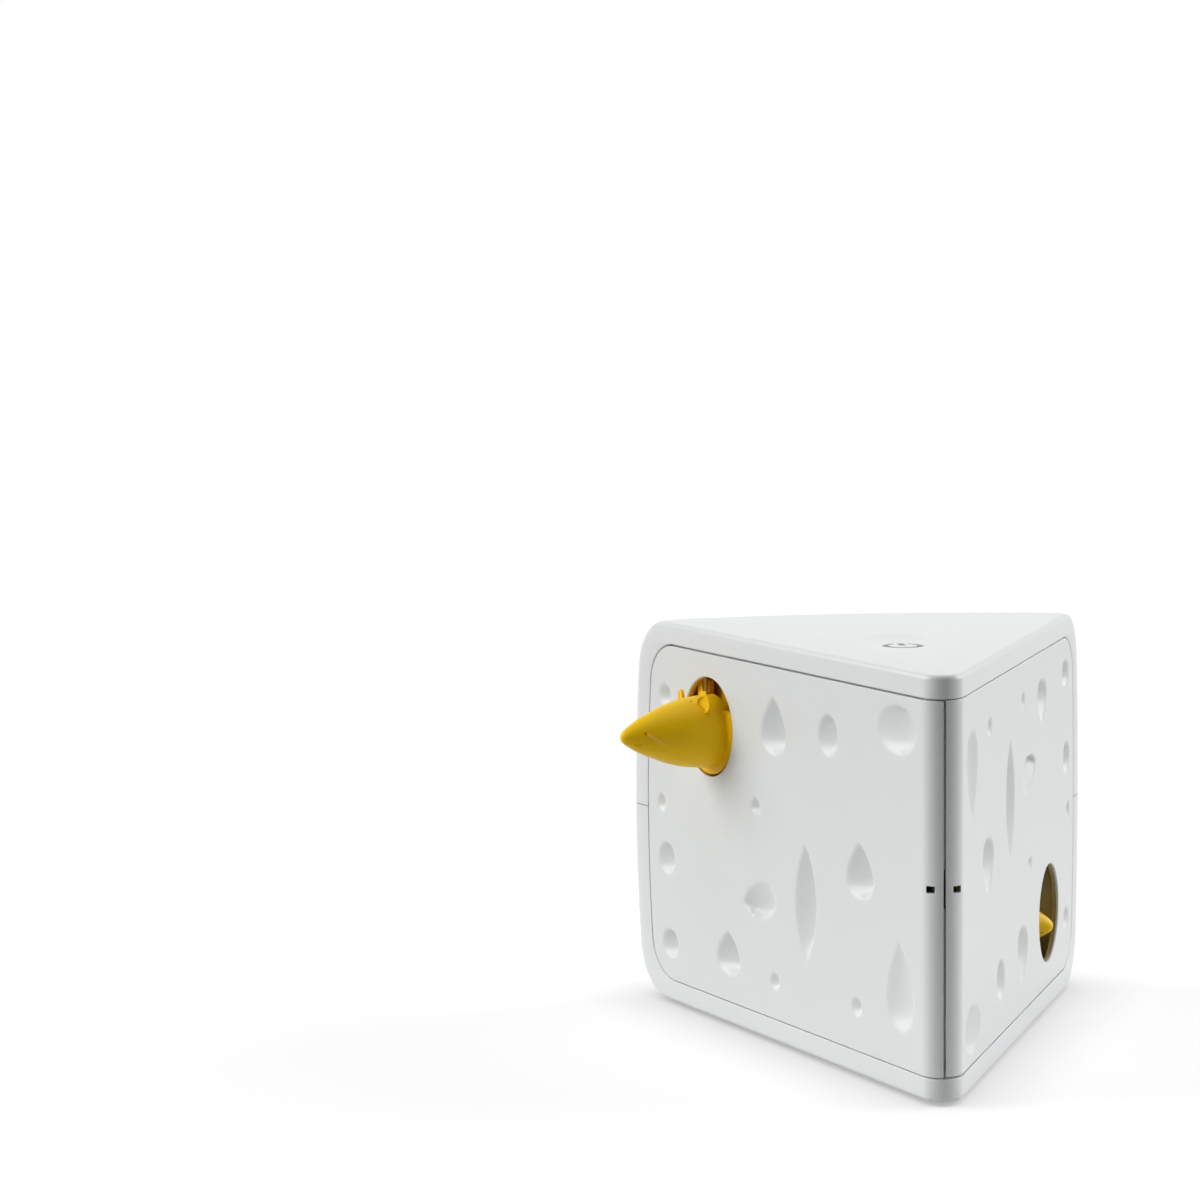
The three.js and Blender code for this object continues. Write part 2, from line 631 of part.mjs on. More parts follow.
// The arm ends in a fork for the rod, with a shield behind the mouse that fills the hole's view
function swingArm() {
  const half = arm.thickness / 2;
  const centre = -pivotDepth;
  const [low, high] = [holeHeight - arm.height / 2, holeHeight + arm.height / 2];
  const ring = post(pivotReach, centre, low, high, arm.ringRadius, 28);
  const bore = post(pivotReach, centre, -fit.reach, fit.reach, hub.radius + fit.gap, 28);
  const forkStart = rodReach - arm.forkWidth / 2;
  const forkEnd = rodReach + arm.forkWidth / 2;
  const deep = centre - half;
  const bar = boxSolid(pivotReach + hub.radius, forkEnd, deep, centre + half, low, high);
  const [forkLow, forkHigh] = [holeHeight - forkHalf, holeHeight + forkHalf];
  const back = boxSolid(forkStart, forkEnd, deep, deep + arm.forkBack, forkLow, forkHigh);
  const shieldBack = deep + arm.forkBack - fit.weld;
  const shieldStart = holeReach - mouseHole.radius + arm.shieldMargin;
  const shieldHalf = mouseHole.radius - arm.shieldSetback;
  const [shieldLow, shieldHigh] = [holeHeight - shieldHalf, holeHeight + shieldHalf];
  const shieldFront = shieldBack + fit.weld + arm.shieldThickness;
  const shield = boxSolid(shieldStart, forkEnd, shieldBack, shieldFront, shieldLow, shieldHigh);
  const lugFront = -panel.wall - arm.lugSetback;
  const lugs = [forkLow, forkHigh - arm.lugHeight].map((z) => {
    return boxSolid(forkStart, forkEnd, deep, lugFront, z, z + arm.lugHeight);
  });
  const rodHalf = pivotRod.halfLength + fit.gap / 2;
  const [rodLow, rodHigh] = [holeHeight - rodHalf, holeHeight + rodHalf];
  const rodBore = post(rodReach, -pivotRod.depth, rodLow, rodHigh, pivotRod.bore, 12);
  const ringOut = centre - arm.ringRadius - fit.overrun;
  const screwBore = barAlongY(pivotReach, holeHeight, ringOut, centre, armScrew.shankRadius + fit.gap, 10);
  return cutAll(joinAll([ring, bar, back, shield, ...lugs]), [bore, rodBore, screwBore]);
}

function armScrewSolid() {
  const seat = -pivotDepth - arm.ringRadius - fit.gap / 2;
  const head = barAlongY(pivotReach, holeHeight, seat - armScrew.headHeight, seat, armScrew.headRadius, 12);
  const tip = -pivotDepth - hub.radius - fit.gap;
  const start = seat - armScrew.headHeight / 2;
  return head.add(barAlongY(pivotReach, holeHeight, start, tip, armScrew.shankRadius, 10));
}

function rodSolid() {
  const [low, high] = [holeHeight - pivotRod.halfLength, holeHeight + pivotRod.halfLength];
  return post(rodReach, -pivotRod.depth, low, high, pivotRod.radius, 12);
}

// Up is 1 where the face frame is upright and -1 where it hangs upside down
function mouseHead(shape, up) {
  const profile = mouse.profileShares.map(([outShare, radiusShare]) => {
    return [outShare * mouse.length, radiusShare * mouse.radius];
  });
  const collarFront = -mouse.collarSetback;
  const collarBack = collarFront - mouse.collarThickness;
  const flanks = profile.map(([out, radius]) => [radius, out]);
  const outerPairs = [[0, collarBack], [mouse.radius, collarBack], ...flanks, [0, mouse.length]];
  const inner = profile
    .filter(([, radius]) => radius > 2 * mouse.wall)
    .map(([out, radius]) => [radius - mouse.wall, out]);
  const innerTop = inner[inner.length - 1][1];
  const open = collarBack - fit.overrun;
  const innerPairs = [[0, open], [inner[0][0], open], ...inner.slice(1), [0, innerTop]];
  const lathe = (pairs) => {
    return toSolid(new THREE.LatheGeometry(pairs.map(([r, h]) => new THREE.Vector2(r, h)), 24));
  };
  const tiltDegrees = -THREE.MathUtils.radToDeg(shape.droop) * up;
  const tilt = (solid) => solid.rotate([tiltDegrees, 0, 0]).translate([0, 0, -shape.drop * up]);
  const slab = (x0, x1, y0, y1, z0, z1) => {
    return boxSolid(x0, x1, y0, y1, Math.min(z0 * up, z1 * up), Math.max(z0 * up, z1 * up));
  };
  const ears = [-1, 1].map((side) => {
    const disc = new THREE.CylinderGeometry(mouse.earRadius, mouse.earRadius, mouse.earThickness, 14);
    disc.rotateZ(-side * mouse.earSplay);
    return toSolid(disc.translate(side * mouse.earReach, mouse.earOut, mouse.earRise * up));
  });
  const { notchHeight } = mouse;
  const notch = slab(-fit.reach, fit.reach, -fit.reach, fit.reach, notchHeight, fit.reach);
  const ring = barAlongY(0, 0, collarBack, collarFront, mouse.collarRadius, 32).subtract(notch);
  const snout = tilt(joinAll([lathe(outerPairs), ...ears]));
  const hollow = tilt(lathe(innerPairs));
  const kneeX = pivotRod.offset;
  const kneeLeft = kneeX - mouse.kneeHalfWidth;
  const kneeRight = kneeX + mouse.kneeHalfWidth;
  const kneeDeep = -pivotRod.depth - mouse.kneeBack;
  const kneeOut = -pivotRod.depth + mouse.kneeFront;
  const knee = slab(kneeLeft, kneeRight, kneeDeep, kneeOut, -mouse.kneeBottom, mouse.kneeTop);
  const webOut = collarBack + fit.weld;
  const web = slab(kneeLeft, mouse.webReach, kneeDeep, webOut, -mouse.webBottom, notchHeight);
  const bore = post(kneeX, -pivotRod.depth, -fit.reach, fit.reach, pivotRod.bore, 12);
  const front = ring.add(snout).subtract(hollow);
  const whole = joinAll([front, knee, web]).subtract(bore);
  return whole.translate([holeReach, 0, holeHeight]);
}

// Gears

// The flanks of one involute tooth as radius and angle pairs, about a centre direction
function toothPoints(teeth, centre) {
  const pitch = (teeth * gear.moduleSize) / 2;
  const base = pitch * Math.cos(gear.pressure);
  const outer = pitch + gear.addendumShare * gear.moduleSize;
  const root = pitch - gear.dedendumShare * gear.moduleSize;
  const involute = (angle) => Math.tan(angle) - angle;
  const halfAngle = (radius) => {
    const at = Math.acos(Math.min(base / radius, 1));
    return Math.PI / (2 * teeth) - gear.backlash / (2 * pitch) + involute(gear.pressure) - involute(at);
  };
  const flank = [root, pitch, outer].map((radius) => [radius, halfAngle(radius)]);
  const rising = flank.map(([radius, half]) => [radius, centre - half]);
  const falling = flank.map(([radius, half]) => [radius, centre + half]);
  return [...rising, ...falling.reverse()];
}

function gearSolid(teeth, z0, z1, phase) {
  const points = [];
  for (let k = 0; k < teeth; k += 1) {
    points.push(...toothPoints(teeth, phase + (k * 2 * Math.PI) / teeth));
  }
  return plate(points.map(([radius, angle]) => [radius * Math.cos(angle), radius * Math.sin(angle)]), z0, z1);
}

const sectorPitch = (sector.teeth * gear.moduleSize) / 2;
const pinionPitch = (pinion.teeth * gear.moduleSize) / 2;
const wheelPitch = (wheel.teeth * gear.moduleSize) / 2;
const motorPitch = (motorGear.teeth * gear.moduleSize) / 2;
const arborY = spindle.y + sectorPitch + pinionPitch;
const motorReach = wheelPitch + motorPitch;
const motorX = motorReach * Math.cos(motorGear.angle);
const motorY = arborY + motorReach * Math.sin(motorGear.angle);
const sectorZ = [midHeight - sector.thickness / 2, midHeight + sector.thickness / 2];
const pinionZ = [midHeight - pinion.thickness / 2, midHeight + pinion.thickness / 2];
const wheelLow = frameTop + gearFrame.collarHeight + fit.gap;
const wheelZ = [wheelLow, wheelLow + wheel.thickness];

// The hub tube with its toothed sector, about the spindle. A tooth points at the stepped gear.
function swingHub() {
  const low = bushFlangeZ + bush.flangeHeight + fit.gap;
  const high = wedge.faceHeight - low;
  const tube = post(0, 0, low, high, hub.radius, 24);
  const bore = post(0, 0, low - fit.overrun, high + fit.overrun, spindle.radius + fit.gap, 18);
  const step = (2 * Math.PI) / sector.teeth;
  const first = -sector.spareTeeth;
  const last = Math.ceil(swing.angle / step) + sector.spareTeeth;
  const straight = Math.PI / 2;
  const teeth = [];
  for (let k = first; k <= last; k += 1) {
    teeth.push(...toothPoints(sector.teeth, straight + k * step));
  }
  const [start, end] = [straight + (first - 0.5) * step, straight + (last + 0.5) * step];
  const rimInner = sectorPitch - sector.rim;
  const edge = teeth.map(([radius, angle]) => [radius * Math.cos(angle), radius * Math.sin(angle)]);
  const rim = plate([...edge, ...arcPoints(0, 0, rimInner, end, start, 6)], ...sectorZ);
  const spokes = [start + 1.5 * step, end - 1.5 * step].map((angle) => {
    const bar = boxSolid(-sector.spoke / 2, sector.spoke / 2, 0, rimInner + sector.rim / 2, ...sectorZ);
    return bar.rotate([0, 0, THREE.MathUtils.radToDeg(angle - straight)]);
  });
  return joinAll([tube, rim, ...spokes]).subtract(bore);
}

function steppedGear() {
  const phase = -Math.PI / 2 + Math.PI / pinion.teeth;
  const small = gearSolid(pinion.teeth, wheelZ[1] - fit.weld, pinionZ[1], phase);
  const large = gearSolid(wheel.teeth, ...wheelZ, motorGear.angle + Math.PI / wheel.teeth);
  const boreRadius = gearPin.radius + gearPin.clearance;
  const bore = post(0, 0, wheelZ[0] - fit.overrun, pinionZ[1] + fit.overrun, boreRadius, 16);
  return small.add(large).subtract(bore);
}

function motorPinion() {
  const z0 = wheelZ[0] - fit.gap / 2;
  const teeth = gearSolid(motorGear.teeth, z0, z0 + motorGear.thickness, motorGear.angle + Math.PI);
  const shaft = post(0, 0, frameBottom - fit.gap, z0 + fit.weld, motor.shaftRadius, 12);
  return teeth.add(shaft);
}

function gearFrameSolid() {
  const place = ([xShare, yShare]) => [xShare * gearFrame.span, arborY + yShare * gearFrame.span];
  const table = plate(gearFrameShares.map(place), frameBottom, frameTop);
  const legs = gearLegShares.map(place).map(([x, y]) => {
    return post(x, y, floorZ + fit.gap, frameBottom + fit.weld, gearFrame.legRadius, 14);
  });
  const collarTop = frameTop + gearFrame.collarHeight;
  const collar = post(0, arborY, frameTop - fit.weld, collarTop, gearFrame.collarRadius, 20);
  const below = frameBottom - fit.overrun;
  const pinBore = post(0, arborY, below, collarTop + fit.overrun, gearPin.radius + gearPin.clearance, 16);
  const bossCut = post(motorX, motorY, below, frameTop + fit.overrun, motor.bossRadius + fit.gap, 20);
  return cutAll(joinAll([table, ...legs, collar]), [pinBore, bossCut]);
}

function motorSolid() {
  const top = frameBottom - fit.gap;
  const can = post(0, 0, top - motor.length, top, motor.radius, 28);
  const bossTop = top + motor.bossHeight;
  const face = post(0, 0, top - fit.weld, bossTop, motor.bossRadius, 16);
  const bore = post(0, 0, top - fit.overrun, bossTop + fit.overrun, motor.shaftRadius + fit.gap, 12);
  return can.add(face).subtract(bore.intersect(halfSpace(top - fit.overrun / 2, fit.reach)));
}

// Power

function batteryTray() {
  const top = cellZ + cell.radius + cell.play + tray.wall;
  const low = floorZ + fit.gap;
  const block = boxSolid(tray.leftX, trayRightX, tray.frontY, trayBackY, low, top);
  const { x0, x1, y0, y1 } = doorHole;
  const inside = boxSolid(x0, x1, y0, y1, low - fit.overrun, top - tray.wall);
  const ribs = [];
  const [ribLeft, ribRight] = [doorHole.x0 + tray.endGap, doorHole.x1 - tray.endGap];
  const ribLow = cellZ + cell.radius * tray.ribShare;
  for (let i = 1; i < cell.count; i += 1) {
    const y = doorHole.y0 + i * cell.pitch;
    ribs.push(boxSolid(ribLeft, ribRight, y - tray.rib / 2, y + tray.rib / 2, ribLow, top - fit.weld));
  }
  return joinAll([block.subtract(inside), ...ribs]);
}

const cellZ = floorZ - door.gap + cell.radius + cell.play;

function cellSolid() {
  const start = doorHole.x0 + tray.endGap;
  const end = start + cell.length;
  const canEnd = end - cell.capLength;
  const can = barAlongX(0, cellZ, start, canEnd, cell.radius, 20);
  return can.add(barAlongX(0, cellZ, canEnd - fit.weld, end, cell.capRadius, 12));
}

// A sheet contact on one end wall of the tray with a raised pad for each cell
function contactStrip(side) {
  const wallX = side < 0 ? doorHole.x0 + fit.gap : doorHole.x1 - fit.gap;
  const inner = wallX - side * contact.thickness;
  const padX = inner - side * contact.bump;
  const y0 = doorHole.y0 + tray.wall;
  const y1 = doorHole.y1 - tray.wall;
  const [low, high] = [cellZ - contact.width / 2, cellZ + contact.width / 2];
  const sheet = boxSolid(Math.min(wallX, inner), Math.max(wallX, inner), y0, y1, low, high);
  const pads = [];
  for (let i = 0; i < cell.count; i += 1) {
    const y = doorHole.y0 + (i + 0.5) * cell.pitch;
    const from = inner + (side * contact.thickness) / 2;
    pads.push(barAlongX(y, cellZ, Math.min(from, padX), Math.max(from, padX), contact.width / 3, 10));
  }
  return joinAll([sheet, ...pads]);
}

function batteryDoor() {
  const { x0, x1, y0, y1 } = doorHole;
  const rim = door.lap - door.gap;
  const top = caseBottom + door.thickness;
  const leaf = boxSolid(x0 - rim, x1 + rim, y0 - rim, y1 - 2 * door.gap, caseBottom, top);
  const [screwX, screwY] = doorScrewPlace;
  const tongueHalf = door.tongue / 2;
  const tongue = boxSolid(screwX - tongueHalf, screwX + tongueHalf, y0 - door.tongue, y0, caseBottom, top);
  const knuckles = knuckleCentreX.map((x) => {
    const half = door.knuckleWidth / 2;
    const barrel = barAlongX(hingeY, hingeZ, x - half, x + half, door.knuckleRadius, 16);
    const tab = boxSolid(x - half, x + half, y1 - 3 * door.gap, hingeY, caseBottom, hingeZ);
    return barrel.add(tab);
  });
  const below = caseBottom - fit.overrun;
  const pinBore = barAlongX(hingeY, hingeZ, -fit.reach, fit.reach, door.pinRadius + fit.gap, 12);
  const screwHole = post(screwX, screwY, below, top + fit.overrun, doorScrew.shankRadius + fit.gap, 12);
  const sinkTop = caseBottom + doorScrew.headHeight + fit.gap;
  const sink = post(screwX, screwY, below, sinkTop, doorScrew.headRadius + fit.gap, 14);
  return cutAll(joinAll([leaf, tongue, ...knuckles]), [pinBore, screwHole, sink]);
}

function hingePin() {
  return barAlongX(hingeY, hingeZ, doorHole.x0, doorHole.x1, door.pinRadius, 10);
}

// A screw along Z with its head at the bottom
function screwUp(size, headBottom) {
  const seat = headBottom + size.headHeight;
  const head = post(0, 0, headBottom, seat, size.headRadius, 14);
  return head.add(post(0, 0, seat - fit.weld, seat + size.shankLength, size.shankRadius, 10));
}

// Button and board

const buttonTop = caseTop - dish.depth * button.sinkShare;
const buttonBottom = buttonTop - button.thickness;
const buttonFlangeTop = roofZ - button.flangeThickness - fit.gap;
const boardTop = roofZ - board.drop;
const boardBottom = boardTop - board.thickness;

function powerButton() {
  const flangeLow = buttonFlangeTop - button.flangeThickness;
  const face = post(0, 0, buttonBottom, buttonTop, button.radius, 28);
  const skirtRadius = button.radius - button.flangeWidth;
  const skirt = post(0, 0, flangeLow, buttonBottom + fit.weld, skirtRadius, 28);
  const flange = post(0, 0, flangeLow, buttonFlangeTop, button.radius + button.flangeWidth, 28);
  const stemEnd = boardTop + tactSwitch.height + tactSwitch.plungerHeight + button.travel + fit.gap;
  const stem = post(0, 0, stemEnd, buttonFlangeTop - fit.weld, button.stemRadius, 14);
  return joinAll([face, skirt, flange, stem]);
}

// A rubber boot round the switch that lifts the button again
function returnBoot() {
  const low = boardTop + fit.gap;
  const high = buttonFlangeTop - button.flangeThickness - fit.gap;
  const outer = [[boot.footRadius, low], [boot.footRadius, low + boot.wall], [boot.topRadius, high]];
  const inner = [[boot.topRadius - boot.wall, high], [boot.footRadius - 2 * boot.wall, low]];
  const points = [...outer, ...inner, outer[0]].map(([radius, z]) => new THREE.Vector2(radius, z));
  const geometry = new THREE.LatheGeometry(points, 20);
  geometry.rotateX(Math.PI / 2);
  return toSolid(geometry);
}

function boardSolid() {
  const slab = boxSolid(-board.halfWidth, board.halfWidth, board.frontY, board.backY, boardBottom, boardTop);
  const [low, high] = [boardBottom - fit.overrun, boardTop + fit.overrun];
  return cutAll(slab, boardPosts.map(([x, y]) => post(x, y, low, high, board.screwBoreRadius, 10)));
}

function switchSolid() {
  const half = tactSwitch.halfSide;
  const top = boardTop + tactSwitch.height;
  const block = boxSolid(-half, half, -half, half, boardTop + fit.gap, top);
  const plungerTop = top + tactSwitch.plungerHeight;
  return block.add(post(0, 0, top - fit.weld, plungerTop, tactSwitch.plungerRadius, 12));
}

function bushSolid() {
  const top = bush.height + bush.flangeHeight;
  const ring = post(0, 0, 0, top, bush.radius, 20);
  const flange = post(0, 0, bush.height, top, bush.flangeRadius, 20);
  const bore = post(0, 0, -fit.overrun, top + fit.overrun, spindle.radius + fit.gap, 20);
  return ring.add(flange).subtract(bore);
}

// Assembly

const finish = {
  whiteGloss: { color: 0xe4e6e6, roughness: 0.32, metalness: 0 },
  yellow: { color: 0xe0ae08, roughness: 0.4, metalness: 0 },
  dullYellow: { color: 0x8a6a1c, roughness: 0.6, metalness: 0 },
  black: { color: 0x26272a, roughness: 0.5, metalness: 0 },
  grey: { color: 0x9fa3a6, roughness: 0.45, metalness: 0 },
  rubber: { color: 0x3a3b3d, roughness: 0.85, metalness: 0 },
  steel: { color: 0xb9bcc0, roughness: 0.3, metalness: 1 },
  brass: { color: 0xb08d57, roughness: 0.45, metalness: 1 },
  boardGreen: { color: 0x2e6b45, roughness: 0.55, metalness: 0 },
  cellJacket: { color: 0x4a4f57, roughness: 0.4, metalness: 0.2 },
  nylon: { color: 0xe9e6da, roughness: 0.5, metalness: 0 },
};

const toy = new THREE.Group();
toy.position.set(0, -foot.frontY, -caseBottom + foot.proud);

function put(parent, name, solid, look, place = [0, 0, 0]) {
  const mesh = new THREE.Mesh(toGeometry(solid), new THREE.MeshStandardMaterial(finish[look]));
  mesh.name = name;
  mesh.position.set(...place);
  parent.add(mesh);
}

// The left face frame as a group, and the same upside down on the right
function faceGroup() {
  const group = new THREE.Group();
  group.rotation.z = Math.PI / 2 + halfApex;
  return group;
}

function flipped(child) {
  const group = new THREE.Group();
  group.rotation.y = Math.PI;
  group.position.z = wedge.faceHeight;
  group.add(child);
  return group;
}

// Turns a group about the spindle, as the swing frame turns
function swung(child, angle) {
  const inner = new THREE.Group();
  inner.position.y = -spindle.y;
  inner.add(child);
  const outer = new THREE.Group();
  outer.position.y = spindle.y;
  outer.rotation.z = angle;
  outer.add(inner);
  return outer;
}

put(toy, "upper_shell", upperShell(), "whiteGloss");
put(toy, "lower_shell", lowerShell(), "whiteGloss");

const panelSolid = sidePanel();
put(toy, "left_panel", panelSolid, "whiteGloss");
const rightPanelGroup = new THREE.Group();
put(rightPanelGroup, "right_panel", panelSolid, "whiteGloss");
toy.add(flipped(rightPanelGroup));
put(toy, "front_clip", clipBlock(), "black");

const guardSolid = pawGuard();
const upperFixed = faceGroup();
put(upperFixed, "upper_guard", guardSolid, "dullYellow");
toy.add(upperFixed);
const lowerFixed = faceGroup();
put(lowerFixed, "lower_guard", guardSolid, "dullYellow");
toy.add(flipped(lowerFixed));

const armSolid = swingArm();
const upperMoving = faceGroup();
put(upperMoving, "upper_arm", armSolid, "yellow");
put(upperMoving, "upper_arm_screw", armScrewSolid(), "steel");
put(upperMoving, "upper_pivot_rod", rodSolid(), "steel");
put(upperMoving, "upper_mouse", mouseHead(upperMouse, 1), "yellow");
toy.add(upperMoving);
const lowerMoving = faceGroup();
put(lowerMoving, "lower_arm", armSolid, "yellow");
put(lowerMoving, "lower_arm_screw", armScrewSolid(), "steel");
put(lowerMoving, "lower_pivot_rod", rodSolid(), "steel");
put(lowerMoving, "lower_mouse", mouseHead(lowerMouse, -1), "yellow");
toy.add(flipped(swung(lowerMoving, -swing.angle)));

put(toy, "swing_hub", swingHub(), "nylon", [0, spindle.y, 0]);
const spindleSolid = post(0, spindle.y, floorZ + spindle.footGap, roofZ - spindle.footGap, spindle.radius);
put(toy, "spindle", spindleSolid, "steel");
const bushZ = bushFlangeZ - bush.height;
put(toy, "lower_bush", bushSolid(), "brass", [0, spindle.y, bushZ]);
const upperBushGroup = new THREE.Group();
put(upperBushGroup, "upper_bush", bushSolid(), "brass", [0, spindle.y, bushZ]);
toy.add(flipped(upperBushGroup));

put(toy, "gear_frame", gearFrameSolid(), "grey");
const [pinLow, pinHigh] = [frameBottom - gearPin.tail, pinionZ[1] + gearPin.tail];
put(toy, "gear_pin", post(0, arborY, pinLow, pinHigh, gearPin.radius, 14), "steel");
put(toy, "stepped_gear", steppedGear(), "nylon", [0, arborY, 0]);
put(toy, "motor", motorSolid(), "steel", [motorX, motorY, 0]);
put(toy, "motor_pinion", motorPinion(), "brass", [motorX, motorY, 0]);

put(toy, "battery_tray", batteryTray(), "black");
for (let i = 0; i < cell.count; i += 1) {
  const y = doorHole.y0 + (i + 0.5) * cell.pitch;
  put(toy, `cell_${i + 1}`, cellSolid(), "cellJacket", [0, y, 0]);
}
put(toy, "contact_left", contactStrip(-1), "steel");
put(toy, "contact_right", contactStrip(1), "steel");
put(toy, "battery_door", batteryDoor(), "whiteGloss");
put(toy, "door_hinge_pin", hingePin(), "steel");
put(toy, "door_screw", screwUp(doorScrew, caseBottom + fit.gap), "steel", [...doorScrewPlace, 0]);

put(toy, "power_button", powerButton(), "grey", [0, button.y, 0]);
put(toy, "button_boot", returnBoot(), "rubber", [0, button.y, 0]);
put(toy, "control_board", boardSolid(), "boardGreen");
put(toy, "button_switch", switchSolid(), "black", [0, button.y, 0]);
const boardScrewLow = boardBottom - fit.gap - boardScrew.headHeight;
boardPosts.forEach(([x, y], i) => {
  put(toy, `board_screw_${i + 1}`, screwUp(boardScrew, boardScrewLow), "steel", [x, y, 0]);
});

const footNames = ["front_foot", "left_foot", "right_foot"];
footPlaces().forEach(([x, y], i) => {
  put(toy, footNames[i], footPad(), "rubber", [x, y, 0]);
});
caseScrewPlaces.forEach(([x, y], i) => {
  put(toy, `case_screw_${i + 1}`, screwUp(caseScrew, screwShoulder), "steel", [x, y, 0]);
});

export default toy;
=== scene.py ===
"""Dresses the wedge-shaped cat toy: its white case, its two toy mice and its works.

Lengths in this file are millimetres in the corner frame of the wedge: the origin is the sharp
corner where the two side faces would meet, at the height of the lower seam, with +Y to the broad
back and +Z up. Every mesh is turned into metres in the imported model's frame as it is made.
"""

from __future__ import annotations

import logging
import math
from collections.abc import Sequence
from dataclasses import dataclass, field
from enum import Enum

import bmesh
import bpy
from mathutils import Matrix, Vector


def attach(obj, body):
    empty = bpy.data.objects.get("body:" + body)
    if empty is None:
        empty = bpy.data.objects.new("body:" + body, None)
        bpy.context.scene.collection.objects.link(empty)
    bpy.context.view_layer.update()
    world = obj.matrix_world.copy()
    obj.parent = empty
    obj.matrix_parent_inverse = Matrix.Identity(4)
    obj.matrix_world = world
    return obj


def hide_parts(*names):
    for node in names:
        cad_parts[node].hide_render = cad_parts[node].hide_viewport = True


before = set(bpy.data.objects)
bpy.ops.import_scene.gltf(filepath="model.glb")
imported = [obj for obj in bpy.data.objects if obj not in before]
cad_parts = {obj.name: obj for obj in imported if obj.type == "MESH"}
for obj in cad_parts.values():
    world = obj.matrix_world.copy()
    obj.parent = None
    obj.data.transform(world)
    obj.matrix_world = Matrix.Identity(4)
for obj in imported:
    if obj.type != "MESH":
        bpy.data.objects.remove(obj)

Point = tuple[float, float, float]
Flat = tuple[float, float]
Ring = Sequence[Point]

log = logging.getLogger("cat_toy")

# How many sides round forms have, from the widest ones in view to small bores

FINE, ROUND, PLAIN, SMALL, TINY = 96, 64, 48, 32, 24


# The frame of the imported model


@dataclass(frozen=True)
class Origin:
    """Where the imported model's origin lies in the corner frame."""

    back: float = 38.0
    below: float = 10.7
    metre: float = 0.001

    def metres(self, point: Sequence[float]) -> Vector:
        """A corner-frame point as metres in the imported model's frame."""
        x, y, z = point
        return Vector((x, y - self.back, z + self.below)) * self.metre


ORIGIN = Origin()


class Side(Enum):
    """The two side faces of the wedge."""

    LEFT = -1
    RIGHT = 1


class Cut(Enum):
    """How one solid acts on another."""

    TAKE = "DIFFERENCE"
    KEEP = "INTERSECT"
    JOIN = "UNION"


# Workshop: the few tools that every piece is made with


